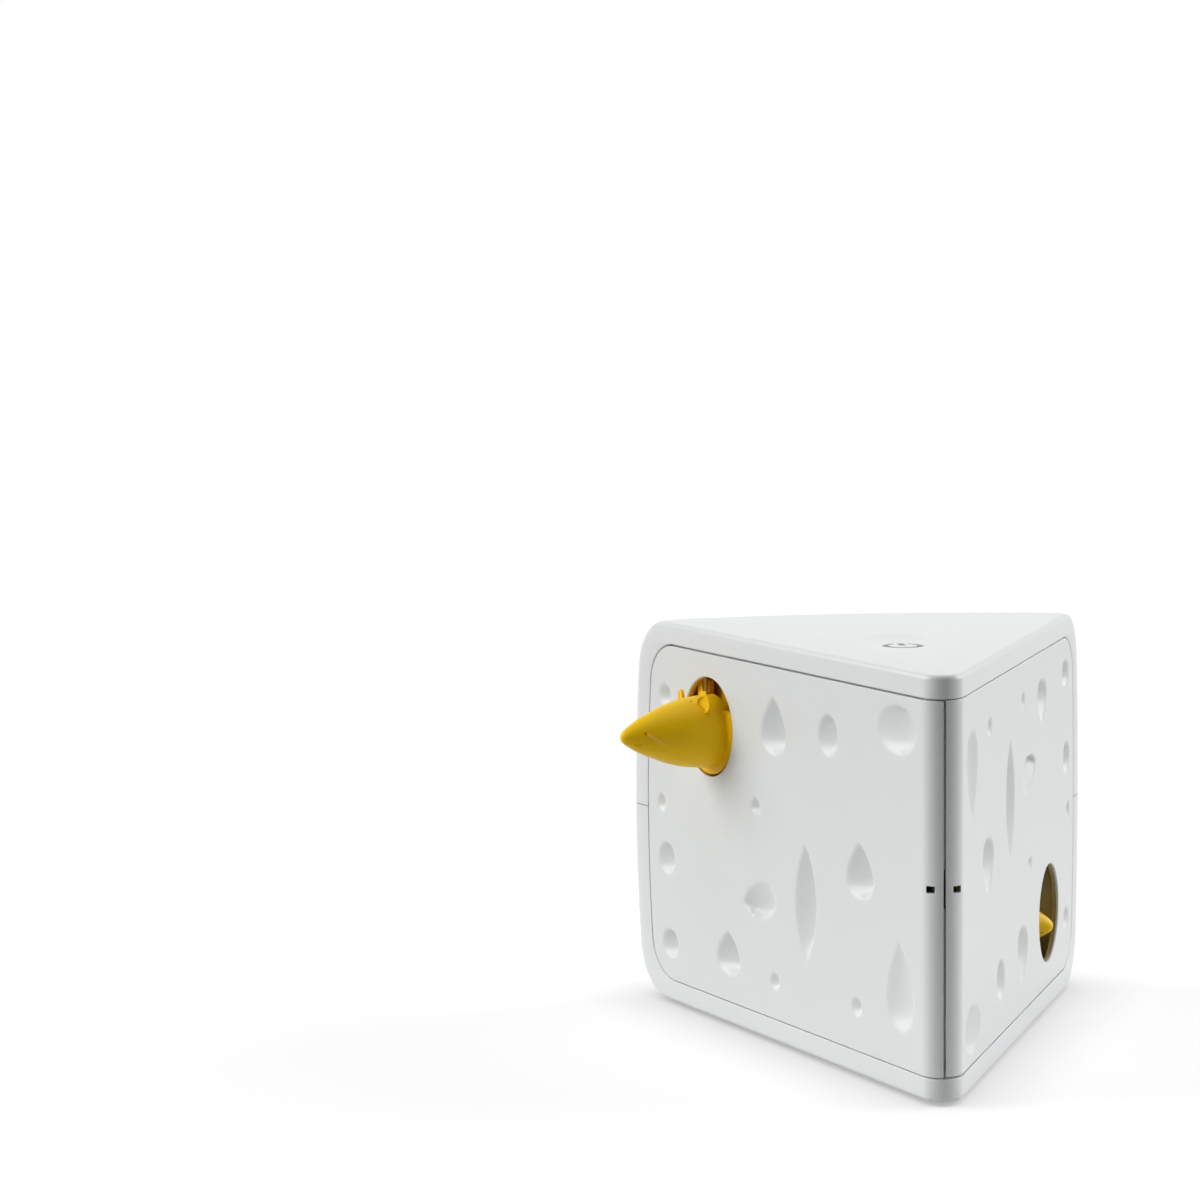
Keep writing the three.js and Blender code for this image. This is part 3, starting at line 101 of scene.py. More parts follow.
class Workshop:
    """Makes and finishes meshes with Blender's own operators."""

    @staticmethod
    def deselect() -> None:
        """Leaves nothing selected."""
        if bpy.context.object is not None and bpy.context.object.mode != "OBJECT":
            bpy.ops.object.mode_set(mode="OBJECT")
        bpy.ops.object.select_all(action="DESELECT")

    @staticmethod
    def only(obj: bpy.types.Object) -> bpy.types.Object:
        """Makes one object the selected and active one.

        Args:
            obj: The object to work on.

        Returns:
            The same object.
        """
        Workshop.deselect()
        obj.select_set(True)
        bpy.context.view_layer.objects.active = obj
        return obj

    @staticmethod
    def settle(obj: bpy.types.Object, name: str) -> bpy.types.Object:
        """Names an object and puts its place into its mesh.

        Args:
            obj: A mesh object.
            name: The name of the piece.

        Returns:
            The same object, at the origin, unturned and unscaled.
        """
        Workshop.only(obj)
        bpy.ops.object.transform_apply(location=True, rotation=True, scale=True)
        obj.name = name
        obj.data.name = name
        return obj

    @staticmethod
    def skin(name: str, rings: Sequence[Ring], closed: bool = False) -> bpy.types.Object:
        """Extrudes a circle through a row of rings and closes its two ends.

        Args:
            name: The name of the piece.
            rings: Rings of equal count, each a closed loop of points.
            closed: True where the last ring joins the first, as in a hoop.

        Returns:
            A closed mesh with its faces outward.
        """
        Workshop.deselect()
        count = len(rings[0])
        bpy.ops.mesh.primitive_circle_add(vertices=count, radius=1.0)
        obj = bpy.context.object
        bpy.ops.object.mode_set(mode="EDIT")
        mesh = bmesh.from_edit_mesh(obj.data)
        mesh.verts.ensure_lookup_table()
        first = [vertex.index for vertex in mesh.verts]
        order = list(first)
        for index, point in zip(order, rings[0]):
            mesh.verts[index].co = ORIGIN.metres(point)
        for ring in rings[1:]:
            keys = {tuple(mesh.verts[index].co): at for at, index in enumerate(order)}
            bmesh.update_edit_mesh(obj.data)
            bpy.ops.mesh.extrude_edges_move()
            mesh = bmesh.from_edit_mesh(obj.data)
            mesh.verts.ensure_lookup_table()
            placed = [0] * count
            for vertex in mesh.verts:
                if vertex.select:
                    placed[keys[tuple(vertex.co)]] = vertex.index
            order = placed
            for index, point in zip(order, ring):
                mesh.verts[index].co = ORIGIN.metres(point)
        if closed:
            for index in first:
                mesh.verts[index].select = True
            mesh.select_flush(True)
            Workshop.keep_edges(mesh, set(first), set(order))
            bmesh.update_edit_mesh(obj.data)
            bpy.ops.mesh.bridge_edge_loops()
        else:
            for loop in (first, order):
                Workshop.keep_edges(mesh, set(loop), set(loop))
                bmesh.update_edit_mesh(obj.data)
                bpy.ops.mesh.edge_face_add()
                mesh = bmesh.from_edit_mesh(obj.data)
                mesh.verts.ensure_lookup_table()
        bpy.ops.mesh.select_all(action="SELECT")
        bpy.ops.mesh.normals_make_consistent(inside=False)
        bpy.ops.object.mode_set(mode="OBJECT")
        return Workshop.settle(obj, name)

    @staticmethod
    def keep_edges(mesh: bmesh.types.BMesh, one: set[int], other: set[int]) -> None:
        """Selects only the edges that lie within one loop of vertices or another.

        Args:
            mesh: The mesh in edit mode.
            one: Vertex indices of a loop.
            other: Vertex indices of a second loop, or the same again.
        """
        for item in (*mesh.verts, *mesh.edges, *mesh.faces):
            item.select = False
        for edge in mesh.edges:
            ends = {vertex.index for vertex in edge.verts}
            if ends <= one or ends <= other:
                edge.select_set(True)

    @staticmethod
    def apply(obj: bpy.types.Object, kind: str, **settings: object) -> bpy.types.Object:
        """Adds a modifier and applies it.

        Args:
            obj: The object to change.
            kind: The modifier's type name.
            settings: Values for the modifier's own settings.

        Returns:
            The same object.
        """
        Workshop.only(obj)
        modifier = obj.modifiers.new(kind.title(), kind)
        for name, value in settings.items():
            setattr(modifier, name, value)
        bpy.ops.object.modifier_apply(modifier=modifier.name)
        return obj

    @staticmethod
    def combine(obj: bpy.types.Object, cut: Cut, *tools: bpy.types.Object) -> bpy.types.Object:
        """Cuts, trims or joins an object with others, which are used up.

        Args:
            obj: The object to change.
            cut: What the tools do to it.
            tools: Closed meshes.

        Returns:
            The same object.
        """
        for tool in tools:
            Workshop.apply(obj, "BOOLEAN", operation=cut.value, object=tool, solver="MANIFOLD")
            bpy.data.objects.remove(tool, do_unlink=True)
        return obj

    @staticmethod
    def smooth(obj: bpy.types.Object, degrees: float = 32.0) -> bpy.types.Object:
        """Shades an object smooth but for edges sharper than an angle.

        Args:
            obj: The object to shade.
            degrees: The angle from which an edge stays sharp.

        Returns:
            The same object.
        """
        Workshop.only(obj)
        bpy.ops.object.shade_smooth_by_angle(angle=math.radians(degrees))
        return obj

    @staticmethod
    def twin(obj: bpy.types.Object, name: str, turn: Matrix) -> bpy.types.Object:
        """A copy with its own mesh, turned into another place.

        Args:
            obj: The piece to copy.
            name: The name of the copy.
            turn: The move from one place to the other, in metres.

        Returns:
            The new object.
        """
        copy = obj.copy()
        copy.data = obj.data.copy()
        bpy.context.collection.objects.link(copy)
        copy.matrix_world = turn
        return Workshop.settle(copy, name)

    @staticmethod
    def bevel(obj: bpy.types.Object, edge: float) -> bpy.types.Object:
        """Rounds every edge of an object.

        Args:
            obj: The object to change.
            edge: The radius of its edges, or 0 to leave them sharp.

        Returns:
            The same object.
        """
        if edge > 0:
            Workshop.apply(obj, "BEVEL", width=edge * ORIGIN.metre, segments=3)
        return obj

    @staticmethod
    def block(name: str, low: Point, high: Point, edge: float = 0.0) -> bpy.types.Object:
        """A box between two corners, with its edges rounded where asked.

        Args:
            name: The name of the piece.
            low: The lowest corner.
            high: The highest corner.
            edge: The radius of its edges, or 0 for sharp ones.

        Returns:
            The box.
        """
        Workshop.deselect()
        start, end = ORIGIN.metres(low), ORIGIN.metres(high)
        bpy.ops.mesh.primitive_cube_add(size=1.0, location=(start + end) / 2)
        obj = bpy.context.object
        obj.scale = end - start
        return Workshop.bevel(Workshop.settle(obj, name), edge)

    @staticmethod
    def prism(name: str, outline: Sequence[Flat], levels: Flat) -> bpy.types.Object:
        """An upright solid with one outline from above."""
        return Workshop.skin(name, [[(x, y, z) for x, y in outline] for z in levels])

    @staticmethod
    def bar(name: str, section: Sequence[Flat], ends: Flat) -> bpy.types.Object:
        """A solid with one outline from the side, which runs from left to right."""
        return Workshop.skin(name, [[(x, y, z) for y, z in section] for x in ends])


# Shapes seen from above and from the side


@dataclass(frozen=True)
class Wedge:
    """The outer form of the case and where its parts lie on it."""

    apex: float = math.radians(45)
    face_height: float = 143.0
    cap_band: float = 9.0
    tangent_reach: float = 248.5
    nose_radius: float = 8.5
    corner_radius: float = 8.0
    back_radius: float = 357.0
    profile_radius: float = 20.0
    edge_radius: float = 2.0
    crown: float = 4.7
    wall: float = 3.0
    panel_wall: float = 2.4
    rim: float = 9.0
    seam_radius: float = 16.0
    nose_steps: int = 26
    corner_steps: int = 16
    back_steps: int = 40
    edge_steps: int = 6
    profile_steps: int = 12
    profile_first: int = 3
    seam_steps: int = 14
    zone_steps: int = 10
    zone_front: float = -40.0

    @property
    def half(self) -> float:
        """Half the angle at the apex."""
        return self.apex / 2

    @property
    def middle(self) -> float:
        """Half the height of a side face."""
        return self.face_height / 2

    @property
    def top(self) -> float:
        """The height of the top plate."""
        return self.face_height + self.cap_band

    @property
    def seam_reach(self) -> float:
        """How far along a face its panel reaches at half its height."""
        return self.tangent_reach - self.rim

    @property
    def nose_centre(self) -> float:
        """The Y of the nose's centre of curvature."""
        return self.nose_radius / math.sin(self.half)

    def on_face(self, side: Side, reach: float, out: float, z: float) -> Point:
        """A point given along and out of a side face."""
        sin, cos = math.sin(self.half), math.cos(self.half)
        return (side.value * (reach * sin + out * cos), reach * cos - out * sin, z)

    def draw_in(self, z: float, half_height: float, radius: float) -> float:
        """How far the back has drawn in at a height.

        Args:
            z: The height.
            half_height: Half the height of the form.
            radius: The radius at its upper and lower ends.

        Returns:
            The distance forward.
        """
        away = abs(z - self.middle)
        past = min(max(away - (half_height - radius), 0.0), radius)
        return self.crown * (away / self.middle) ** 2 + radius - math.sqrt(radius**2 - past**2)

    def plan(self, inset: float, shift: float) -> list[Flat]:
        """The outline from above, drawn in all round and with its back moved forward.

        Args:
            inset: How far it is drawn in.
            shift: How far the back has moved forward.

        Returns:
            Points from the left of the nose round the right side and the back.
        """
        sin, cos = math.sin(self.half), math.cos(self.half)
        reach = self.tangent_reach - shift / cos
        corner = (reach * sin - self.corner_radius * cos, reach * cos + self.corner_radius * sin)
        depth = math.sqrt((self.back_radius - self.corner_radius) ** 2 - corner[0] ** 2)
        centre = corner[1] - depth
        turn = math.atan2(corner[0], depth)
        quarter = math.pi / 2
        nose = Arc((0.0, self.nose_centre), self.nose_radius - inset)
        right = Arc(corner, self.corner_radius - inset)
        left = Arc((-corner[0], corner[1]), self.corner_radius - inset)
        back = Arc((0.0, centre), self.back_radius - inset)
        return [
            *nose.points(-math.pi + self.half, -self.half, self.nose_steps),
            *right.points(-self.half, quarter - turn, self.corner_steps),
            *back.points(quarter - turn, quarter + turn, self.back_steps)[1:-1],
            *left.points(quarter + turn, math.pi + self.half, self.corner_steps),
        ]

    def body_rings(self, inset: float, fine: bool) -> list[Ring]:
        """Rings of the whole wedge from its base to its top.

        Args:
            inset: How far it is drawn in on every side.
            fine: True for the outer skin, which has more rings.

        Returns:
            Rings of equal count.
        """
        half_height = self.middle + self.cap_band - inset
        radius = self.profile_radius - inset
        edge = max(self.edge_radius - inset, 0.0)
        quarter = math.pi / 2
        steps = self.profile_steps if fine else self.profile_steps // 2
        offsets = {0.0}
        if edge > 0:
            turns = [quarter * k / self.edge_steps for k in range(1, self.edge_steps + 1)]
            offsets |= {edge * (1 - math.cos(turn)) for turn in turns}
        turns = [quarter * k / steps for k in range(self.profile_first, steps + 1)]
        offsets |= {radius * (1 - math.cos(turn)) for turn in turns}
        offsets |= {radius + (half_height - radius) * k / steps for k in range(1, steps + 1)}
        low = sorted(offsets)
        heights = [self.middle - half_height + offset for offset in low]
        heights += [self.middle + half_height - offset for offset in reversed(low[:-1])]
        rings = []
        for z in heights:
            past = max(abs(z - self.middle) - (half_height - edge), 0.0)
            drawn = edge - math.sqrt(max(edge**2 - past**2, 0.0))
            outline = self.plan(inset + drawn, self.draw_in(z, half_height, radius))
            rings.append([(x, y, z) for x, y in outline])
        return rings

    def zone(self, grow: float) -> list[Flat]:
        """The side view of the space that the panels fill.

        Args:
            grow: How far it is grown past the seam.

        Returns:
            Pairs of Y and Z, from the lower front to the upper front.
        """
        half_height = self.middle + grow
        radius = self.seam_radius + grow
        turns = [math.pi / 2 * k / self.seam_steps for k in range(self.seam_steps + 1)]
        low = [radius * (1 - math.cos(turn)) for turn in turns]
        straight = range(1, self.zone_steps + 1)
        low += [radius + (half_height - radius) * k / self.zone_steps for k in straight]
        heights = [self.middle - half_height + offset for offset in low]
        heights += [self.middle + half_height - offset for offset in reversed(low[:-1])]
        seam = self.seam_reach * math.cos(self.half) + grow
        curve = [(seam - self.draw_in(z, half_height, radius), z) for z in heights]
        front = self.zone_front
        return [(front, self.middle - half_height), *curve, (front, self.middle + half_height)]

    def seam_rings(self, side: Side, rows: Sequence[Flat], sag: float = 0.0) -> list[Ring]:
        """Rings that follow the seam on one side face.

        Args:
            side: Which side face.
            rows: Pairs of growth past the seam and depth below the face.
            sag: How far they are lowered.

        Returns:
            The rings.
        """
        cos = math.cos(self.half)
        return [
            [self.on_face(side, y / cos, -depth, z - sag) for y, z in self.zone(grow)]
            for grow, depth in rows
        ]


@dataclass(frozen=True)
class Arc:
    """A circle that points are taken from."""

    centre: Flat
    radius: float

    def points(self, start: float, end: float, steps: int) -> list[Flat]:
        """Points at equal steps of angle.

        Args:
            start: The first angle, in radians.
            end: The last angle.
            steps: The number of steps between them.

        Returns:
            steps + 1 points.
        """
        angles = [start + (end - start) * k / steps for k in range(steps + 1)]
        x, y = self.centre
        return [(x + self.radius * math.cos(a), y + self.radius * math.sin(a)) for a in angles]

    def ring(self, sides: int) -> list[Flat]:
        """Points all the way round."""
        return self.points(0.0, 2 * math.pi, sides)[:-1]


WEDGE = Wedge()


@dataclass(frozen=True)
class Hole:
    """A round hole in a side panel, which a mouse looks out of."""

    name: str
    side: Side
    height: float
    reach: float = 186.0

    def place(self, across: float, out: float, rise: float) -> Point:
        """A point given from the hole's centre."""
        return WEDGE.on_face(self.side, self.reach + across, out, self.height + rise)

    def rings(self, rows: Sequence[Flat], sides: int = FINE) -> list[Ring]:
        """Rings of a turned piece on the hole's axis.

        Args:
            rows: Pairs of radius and distance out of the face.
            sides: How many points each ring has.

        Returns:
            The rings.
        """
        return [
            [self.place(across, out, rise) for across, rise in Arc((0.0, 0.0), radius).ring(sides)]
            for radius, out in rows
        ]

    def slab(self, across: Flat, out: Flat, rise: Flat, edge: float = 0.0) -> bpy.types.Object:
        """A block square to the side face.

        Args:
            across: Its two ends along the face.
            out: Its two ends out of the face.
            rise: Its two ends in height.
            edge: The radius of its edges, or 0.

        Returns:
            The block.
        """
        left, right = across
        back, front = out
        corners = [(left, back), (right, back), (right, front), (left, front)]
        rings = [[self.place(a, o, z) for a, o in corners] for z in rise]
        return Workshop.bevel(Workshop.skin("slab", rings), edge)


UPPER_HOLE = Hole("upper", Side.LEFT, 112.0)
LOWER_HOLE = Hole("lower", Side.RIGHT, WEDGE.face_height - UPPER_HOLE.height)


def upright(place: Flat, rows: Sequence[Flat], sides: int = PLAIN) -> list[Ring]:
    """Rings of a turned piece whose axis stands upright."""
    return [[(x, y, z) for x, y in Arc(place, radius).ring(sides)] for radius, z in rows]


@dataclass(frozen=True)
class Post:
    """A round boss or bore that stands upright."""

    radius: float
    low: float
    high: float
    sides: int = PLAIN

    def at(self, *places: Flat) -> list[bpy.types.Object]:
        """Makes the post at one or more places."""
        rows = [(self.radius, self.low), (self.radius, self.high)]
        return [Workshop.skin("post", upright(place, rows, self.sides)) for place in places]


def bead(start: Point, end: Point, radius: float, sides: int = 20, steps: int = 5) -> list[Ring]:
    """Rings of a round bar with domed ends between two points, or of a ball at one point.

    Args:
        start: The centre of its first dome.
        end: The centre of its last dome.
        radius: Its radius.
        sides: How many points each ring has.
        steps: How many rings each dome has.

    Returns:
        The rings.
    """
    first, last = Vector(start), Vector(end)
    length = (last - first).length
    along = (last - first).normalized() if length > 0 else Vector((0.0, 0.0, 1.0))
    across = along.orthogonal().normalized()
    other = along.cross(across)
    flat_tip = 0.3
    tilts = [math.pi / 2 * (k + flat_tip) / (steps + flat_tip) for k in range(steps + 1)]
    rows = [(first, math.sin(t), -math.cos(t)) for t in tilts]
    rows += [(last, math.sin(t), math.cos(t)) for t in reversed(tilts)]
    if length == 0:
        del rows[steps]
    rings = []
    for centre, wide, far in rows:
        spokes = [across * a + other * b for a, b in Arc((0.0, 0.0), 1.0).ring(sides)]
        rings.append([tuple(centre + (along * far + spoke * wide) * radius) for spoke in spokes])
    return rings


def rounding(radius: float, steps: int = 5) -> list[Flat]:
    """A quarter round as pairs of growth and depth, from the surface down."""
    angles = [math.pi / 2 * k / steps for k in range(steps + 1)]
    return [(radius * (1 - math.sin(a)), radius * (1 - math.cos(a))) for a in angles]


# Finishes


class Nodes:
    """The nodes of a material or a world, which lead to one shader."""

    def __init__(
        self, owner: bpy.types.Material | bpy.types.World, shader: str = "Principled BSDF"
    ) -> None:
        """Turns the nodes on.

        Args:
            owner: The material or world.
            shader: The name of the shader that everything leads to.
        """
        owner.use_nodes = True
        self.tree = owner.node_tree
        self.shader = self.tree.nodes[shader]

    def feed(self, node: bpy.types.Node, inputs: dict[str | int, object]) -> None:
        """Links sockets to a node's inputs, or sets their values.

        Args:
            node: The node.
            inputs: A socket or a value for each input, by its name or number.
        """
        for key, value in inputs.items():
            if isinstance(value, bpy.types.NodeSocket):
                self.tree.links.new(value, node.inputs[key])
            else:
                node.inputs[key].default_value = value

    def add(
        self, kind: str, output: str, inputs: dict[str | int, object], **settings: object
    ) -> bpy.types.NodeSocket:
        """Adds a node.

        Args:
            kind: Its type, without the word that all shader nodes start with.
            output: The output that is wanted.
            inputs: A socket or a value for each input, by its name or number.
            settings: Values for its own settings, which are made first.

        Returns:
            The output.
        """
        node = self.tree.nodes.new(f"ShaderNode{kind}")
        for name, value in settings.items():
            setattr(node, name, value)
        self.feed(node, inputs)
        return node.outputs[output]

    def maths(self, operation: str, one: object, two: object = 0.0) -> bpy.types.NodeSocket:
        """Adds a Math node."""
        return self.add("Math", "Value", {0: one, 1: two}, operation=operation)

    def spread(self, value: object, low: float, high: float) -> bpy.types.NodeSocket:
        """Adds a Map Range node from 0 and 1 to two other values."""
        return self.add("MapRange", "Result", {"Value": value, "To Min": low, "To Max": high})

    def blend(self, share: object, one: object, two: object) -> bpy.types.NodeSocket:
        """Adds a Mix node for two colours."""
        return self.add("Mix", "Result", {"Factor": share, "A": one, "B": two}, data_type="RGBA")


@dataclass(frozen=True)
class Moulded:
    """Moulded plastic or rubber with a faint grain, mottling and uneven gloss."""

    name: str
    colour: tuple[float, float, float]
    roughness: float = 0.35
    mottle: float = 0.03
    mottle_scale: float = 60.0
    mottle_detail: float = 4.0
    grain: float = 0.04
    grain_scale: float = 900.0
    grain_detail: float = 3.0
    grain_height: float = 0.0002
    gloss_range: float = 0.02
    shine: float = 0.5

    def make(self) -> bpy.types.Material:
        """Builds the material.

        Returns:
            A node material that reads only Object coordinates.
        """
        material = bpy.data.materials.new(self.name)
        nodes = Nodes(material)
        place = nodes.add("TexCoord", "Object", {})
        cloud = {"Vector": place, "Scale": self.mottle_scale, "Detail": self.mottle_detail}
        cloud = nodes.add("TexNoise", "Fac", cloud)
        speck = {"Vector": place, "Scale": self.grain_scale, "Detail": self.grain_detail}
        speck = nodes.add("TexNoise", "Fac", speck)
        dark = [channel * (1 - self.mottle) for channel in self.colour]
        light = [min(channel * (1 + self.mottle), 1.0) for channel in self.colour]
        gloss = (self.roughness - self.gloss_range, self.roughness + self.gloss_range)
        bump = {"Height": speck, "Strength": self.grain, "Distance": self.grain_height}
        looks = {
            "Base Color": nodes.blend(cloud, (*dark, 1.0), (*light, 1.0)),
            "Roughness": nodes.spread(cloud, *gloss),
            "Normal": nodes.add("Bump", "Normal", bump),
            "Specular IOR Level": self.shine,
        }
        nodes.feed(nodes.shader, looks)
        return material


@dataclass(frozen=True)
class Metal:
    """Drawn or turned metal with fine lines and a few darker patches."""

    name: str
    colour: tuple[float, float, float]
    roughness: float = 0.3
    line_scale: float = 2200.0
    line_detail: float = 2.0
    line_relief: float = 0.08
    line_height: float = 0.0001
    stretch: Point = (1.0, 1.0, 0.04)
    patch_scale: float = 140.0
    patch_shade: float = 0.8
    gloss: Flat = (0.7, 1.4)

    def make(self) -> bpy.types.Material:
        """Builds the material.

        Returns:
            A node material that reads only Object coordinates.
        """
        material = bpy.data.materials.new(self.name)
        nodes = Nodes(material)
        place = nodes.add("TexCoord", "Object", {})
        drawn = nodes.add("Mapping", "Vector", {"Vector": place, "Scale": self.stretch})
        lines = {"Vector": drawn, "Scale": self.line_scale, "Detail": self.line_detail}
        lines = nodes.add("TexNoise", "Fac", lines)
        cloud = nodes.add("TexNoise", "Fac", {"Vector": place, "Scale": self.patch_scale})
        dark = [channel * self.patch_shade for channel in self.colour]
        smooth, dull = [self.roughness * share for share in self.gloss]
        bump = {"Height": lines, "Strength": self.line_relief, "Distance": self.line_height}
        looks = {
            "Metallic": 1.0,
            "Base Color": nodes.blend(cloud, (*dark, 1.0), (*self.colour, 1.0)),
            "Roughness": nodes.spread(lines, smooth, dull),
            "Normal": nodes.add("Bump", "Normal", bump),
        }
        nodes.feed(nodes.shader, looks)
        return material


@dataclass(frozen=True)
class PowerMark:
    """White plastic with a dark ring, open at the back, and a bar in the opening."""

    plastic: Moulded = Moulded(
        "button_print", (0.70, 0.71, 0.715), 0.32, mottle=0.006, grain=0.02
    )
    ink: tuple[float, float, float] = (0.03, 0.035, 0.035)
    y: float = 111.0
    ring: float = 6.9
    ring_half: float = 1.2
    gap_half: float = 2.6
    bar_half: float = 1.3
    bar_end: float = 8.1

    def make(self) -> bpy.types.Material:
        """Builds the material.

        Returns:
            A node material that reads only Object coordinates.
        """
        material = self.plastic.make()
        nodes = Nodes(material)
        mm = ORIGIN.metre
        base = nodes.shader.inputs["Base Color"].links[0].from_socket
        centre = ORIGIN.metres((0.0, self.y, 0.0))
        place = nodes.add("TexCoord", "Object", {})
        shift = {0: place, 1: (centre.x, centre.y, 0.0)}
        about = nodes.add("VectorMath", "Vector", shift, operation="SUBTRACT")
        x = nodes.add("SeparateXYZ", "X", {"Vector": about})
        y = x.node.outputs["Y"]
        squares = nodes.maths("ADD", nodes.maths("MULTIPLY", x, x), nodes.maths("MULTIPLY", y, y))
        radius = nodes.maths("SQRT", squares)
        width = nodes.maths("ABSOLUTE", x)
        behind = nodes.maths("GREATER_THAN", y, 0.0)
        away = nodes.maths("ABSOLUTE", nodes.maths("SUBTRACT", radius, self.ring * mm))
        ring = nodes.maths("LESS_THAN", away, self.ring_half * mm)
        gap = nodes.maths("MULTIPLY", nodes.maths("LESS_THAN", width, self.gap_half * mm), behind)
        ring = nodes.maths("MULTIPLY", ring, nodes.maths("SUBTRACT", 1.0, gap))
        bar = nodes.maths("MULTIPLY", nodes.maths("LESS_THAN", width, self.bar_half * mm), behind)
        bar = nodes.maths("MULTIPLY", bar, nodes.maths("LESS_THAN", y, self.bar_end * mm))
        mark = nodes.maths("MAXIMUM", ring, bar)
        nodes.feed(nodes.shader, {"Base Color": nodes.blend(mark, base, (*self.ink, 1.0))})
        return material


class Finishes:
    """Every finish of the toy, made once and handed out by name."""

    recipes: tuple[Moulded | Metal, ...] = (
        Moulded("case_white", (0.727, 0.741, 0.746), 0.3, mottle=0.006, grain=0.02, shine=0.31),
        Moulded("panel_white", (0.709, 0.727, 0.722), 0.32, mottle=0.006, grain=0.02, shine=0.31),
        Moulded("mouse_yellow", (0.97, 0.59, 0.002), 0.4, mottle=0.02, grain=0.04, shine=0.16),
        # paler than the mouse yellow: a painted highlight along the raised whisker rib
        Moulded("whisker_painted_highlight", (0.94, 0.56, 0.08), 0.35, mottle=0.03, grain=0.05, shine=0.3),
        # the two guard finishes are darker copies of the mouse's yellow plastic: painted shade for the
        # hole interiors, deeper and olive for the lower hole
        Moulded("guard_yellow", (0.62, 0.36, 0.06), 0.5, mottle=0.08, grain=0.08, shine=0.3),
        Moulded("guard_olive_painted_shade", (0.42, 0.37, 0.20), 0.5, mottle=0.08, grain=0.08, shine=0.3),
        Moulded("black_plastic", (0.012, 0.012, 0.013), 0.42, mottle=0.15, grain=0.08),
        Moulded("frame_grey", (0.3, 0.31, 0.32), 0.45, mottle=0.06, grain=0.08),
        Moulded("gear_nylon", (0.78, 0.75, 0.66), 0.42, mottle=0.03, grain=0.05),
        Moulded(
            "foot_rubber", (0.03, 0.03, 0.032), 0.8, mottle=0.2, grain=0.25, grain_scale=1500.0
        ),
        Moulded("board_green", (0.02, 0.11, 0.05), 0.4, mottle=0.25, mottle_scale=320.0, grain=0.1),
        Moulded("cell_jacket", (0.05, 0.06, 0.075), 0.28, mottle=0.12, grain=0.03),
        Metal("bright_steel", (0.68, 0.69, 0.71), 0.24),
        # a nickel pivot rod drawn as pale cream plastic: its brightness is a painted reflection, not
        # metal
        Moulded("rod_painted_reflection", (0.88, 0.82, 0.72), 0.25, mottle=0.02, grain=0.03),
        Metal("motor_steel", (0.5, 0.51, 0.53), 0.34, stretch=(0.05, 0.05, 1.0)),
        Metal(
            "sintered_bronze", (0.42, 0.29, 0.14), 0.5, line_scale=900.0, stretch=(1.0, 1.0, 1.0)
        ),
    )

    def __init__(self) -> None:
        """Makes each finish."""
        self.made = {recipe.name: recipe.make() for recipe in self.recipes}
        self.made["button_print"] = PowerMark().make()

    def dress(self, obj: bpy.types.Object, name: str) -> None:
        """Gives an object one finish all over.

        Args:
            obj: The object.
            name: The finish's name.
        """
        if not obj.material_slots:
            obj.data.materials.append(self.made[name])
        for slot in obj.material_slots:
            slot.material = self.made[name]


# Sub-assemblies


@dataclass
class Toy:
    """What every sub-assembly is given: the finishes and where to report."""

    finishes: Finishes
    pieces: list[str] = field(default_factory=list)

    def hand_over(
        self, obj: bpy.types.Object, body: str, finish: str, slot: str, *nodes: str
    ) -> bpy.types.Object:
        """Dresses a finished piece and hangs it on its body.

        Args:
            obj: The piece.
            body: The body that it rides on.
            finish: The name of its finish.
            slot: The record's material slot; not used.
            nodes: The CAD nodes that it stands for.

        Returns:
            The same object.
        """
        self.finishes.dress(obj, finish)
        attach(obj, body)
        if nodes:
            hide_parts(*nodes)
        self.pieces.append(obj.name)
        log.info("%s stands on %s for %s", obj.name, body, ", ".join(nodes) or "itself")
        return obj


@dataclass(frozen=True)
class Door:
    """The hole for the battery door in the base, with its hinge and its screw."""

    low: Flat = (-57.9, 160.1)
    high: Flat = (-1.0, 206.0)
    rebate: float = 2.0
    rebate_depth: float = 2.7
    screw: Flat = (-29.45, 154.8)
    screw_boss: float = 2.6
    screw_boss_height: float = 3.9
    screw_bore: float = 1.5
    screw_bore_height: float = 6.0
    tab_half: float = 5.0
    tab_front: float = 150.6
    rail: Flat = (208.1, 212.1)
    rail_height: float = 1.6
    rail_root: float = 0.5
    hinges: Flat = (-51.9, -7.0)
    hinge_half: float = 3.5
    hinge_height: float = 2.6
    hinge_ends: Flat = (205.0, 212.6)
    pin: Flat = (210.1, -7.0)
    pin_radius: float = 1.3
    pin_ends: Flat = (-58.2, -0.7)
    overlap: float = 1.0

    def rail_block(self, floor: float) -> bpy.types.Object:
        """The rail behind the hole, which the hinge pin runs in."""
        low = (self.low[0], self.rail[0], floor - self.rail_root)
        return Workshop.block("rail", low, (self.high[0], self.rail[1], floor + self.rail_height))

    def cutters(self, below: float, base: float, floor: float) -> list[bpy.types.Object]:
        """What the hole, its rebate, the screw's tab, the hinges and their pin take away.

        Args:
            below: Where the cutters start.
            base: The height of the base's outer side.
            floor: The height of its inner side.

        Returns:
            The cutters.
        """
        (left, front), (right, back), (near, far) = self.low, self.high, self.hinge_ends
        rim, x, half = base + self.rebate_depth, self.screw[0], self.hinge_half
        boxes = [
            (left, right, front, back, floor + self.overlap),
            (left - self.rebate, right + self.rebate, front - self.rebate, back, rim),
            (x - self.tab_half, x + self.tab_half, self.tab_front, front, rim),
            *[(x - half, x + half, near, far, floor + self.hinge_height) for x in self.hinges],
        ]
        cuts = [
            Workshop.block("door_cut", (west, south, below), (east, north, top))
            for west, east, south, north, top in boxes
        ]
        pin = Arc(self.pin, self.pin_radius).ring(TINY)
        return [*cuts, Workshop.bar("pin_bore", pin, self.pin_ends)]


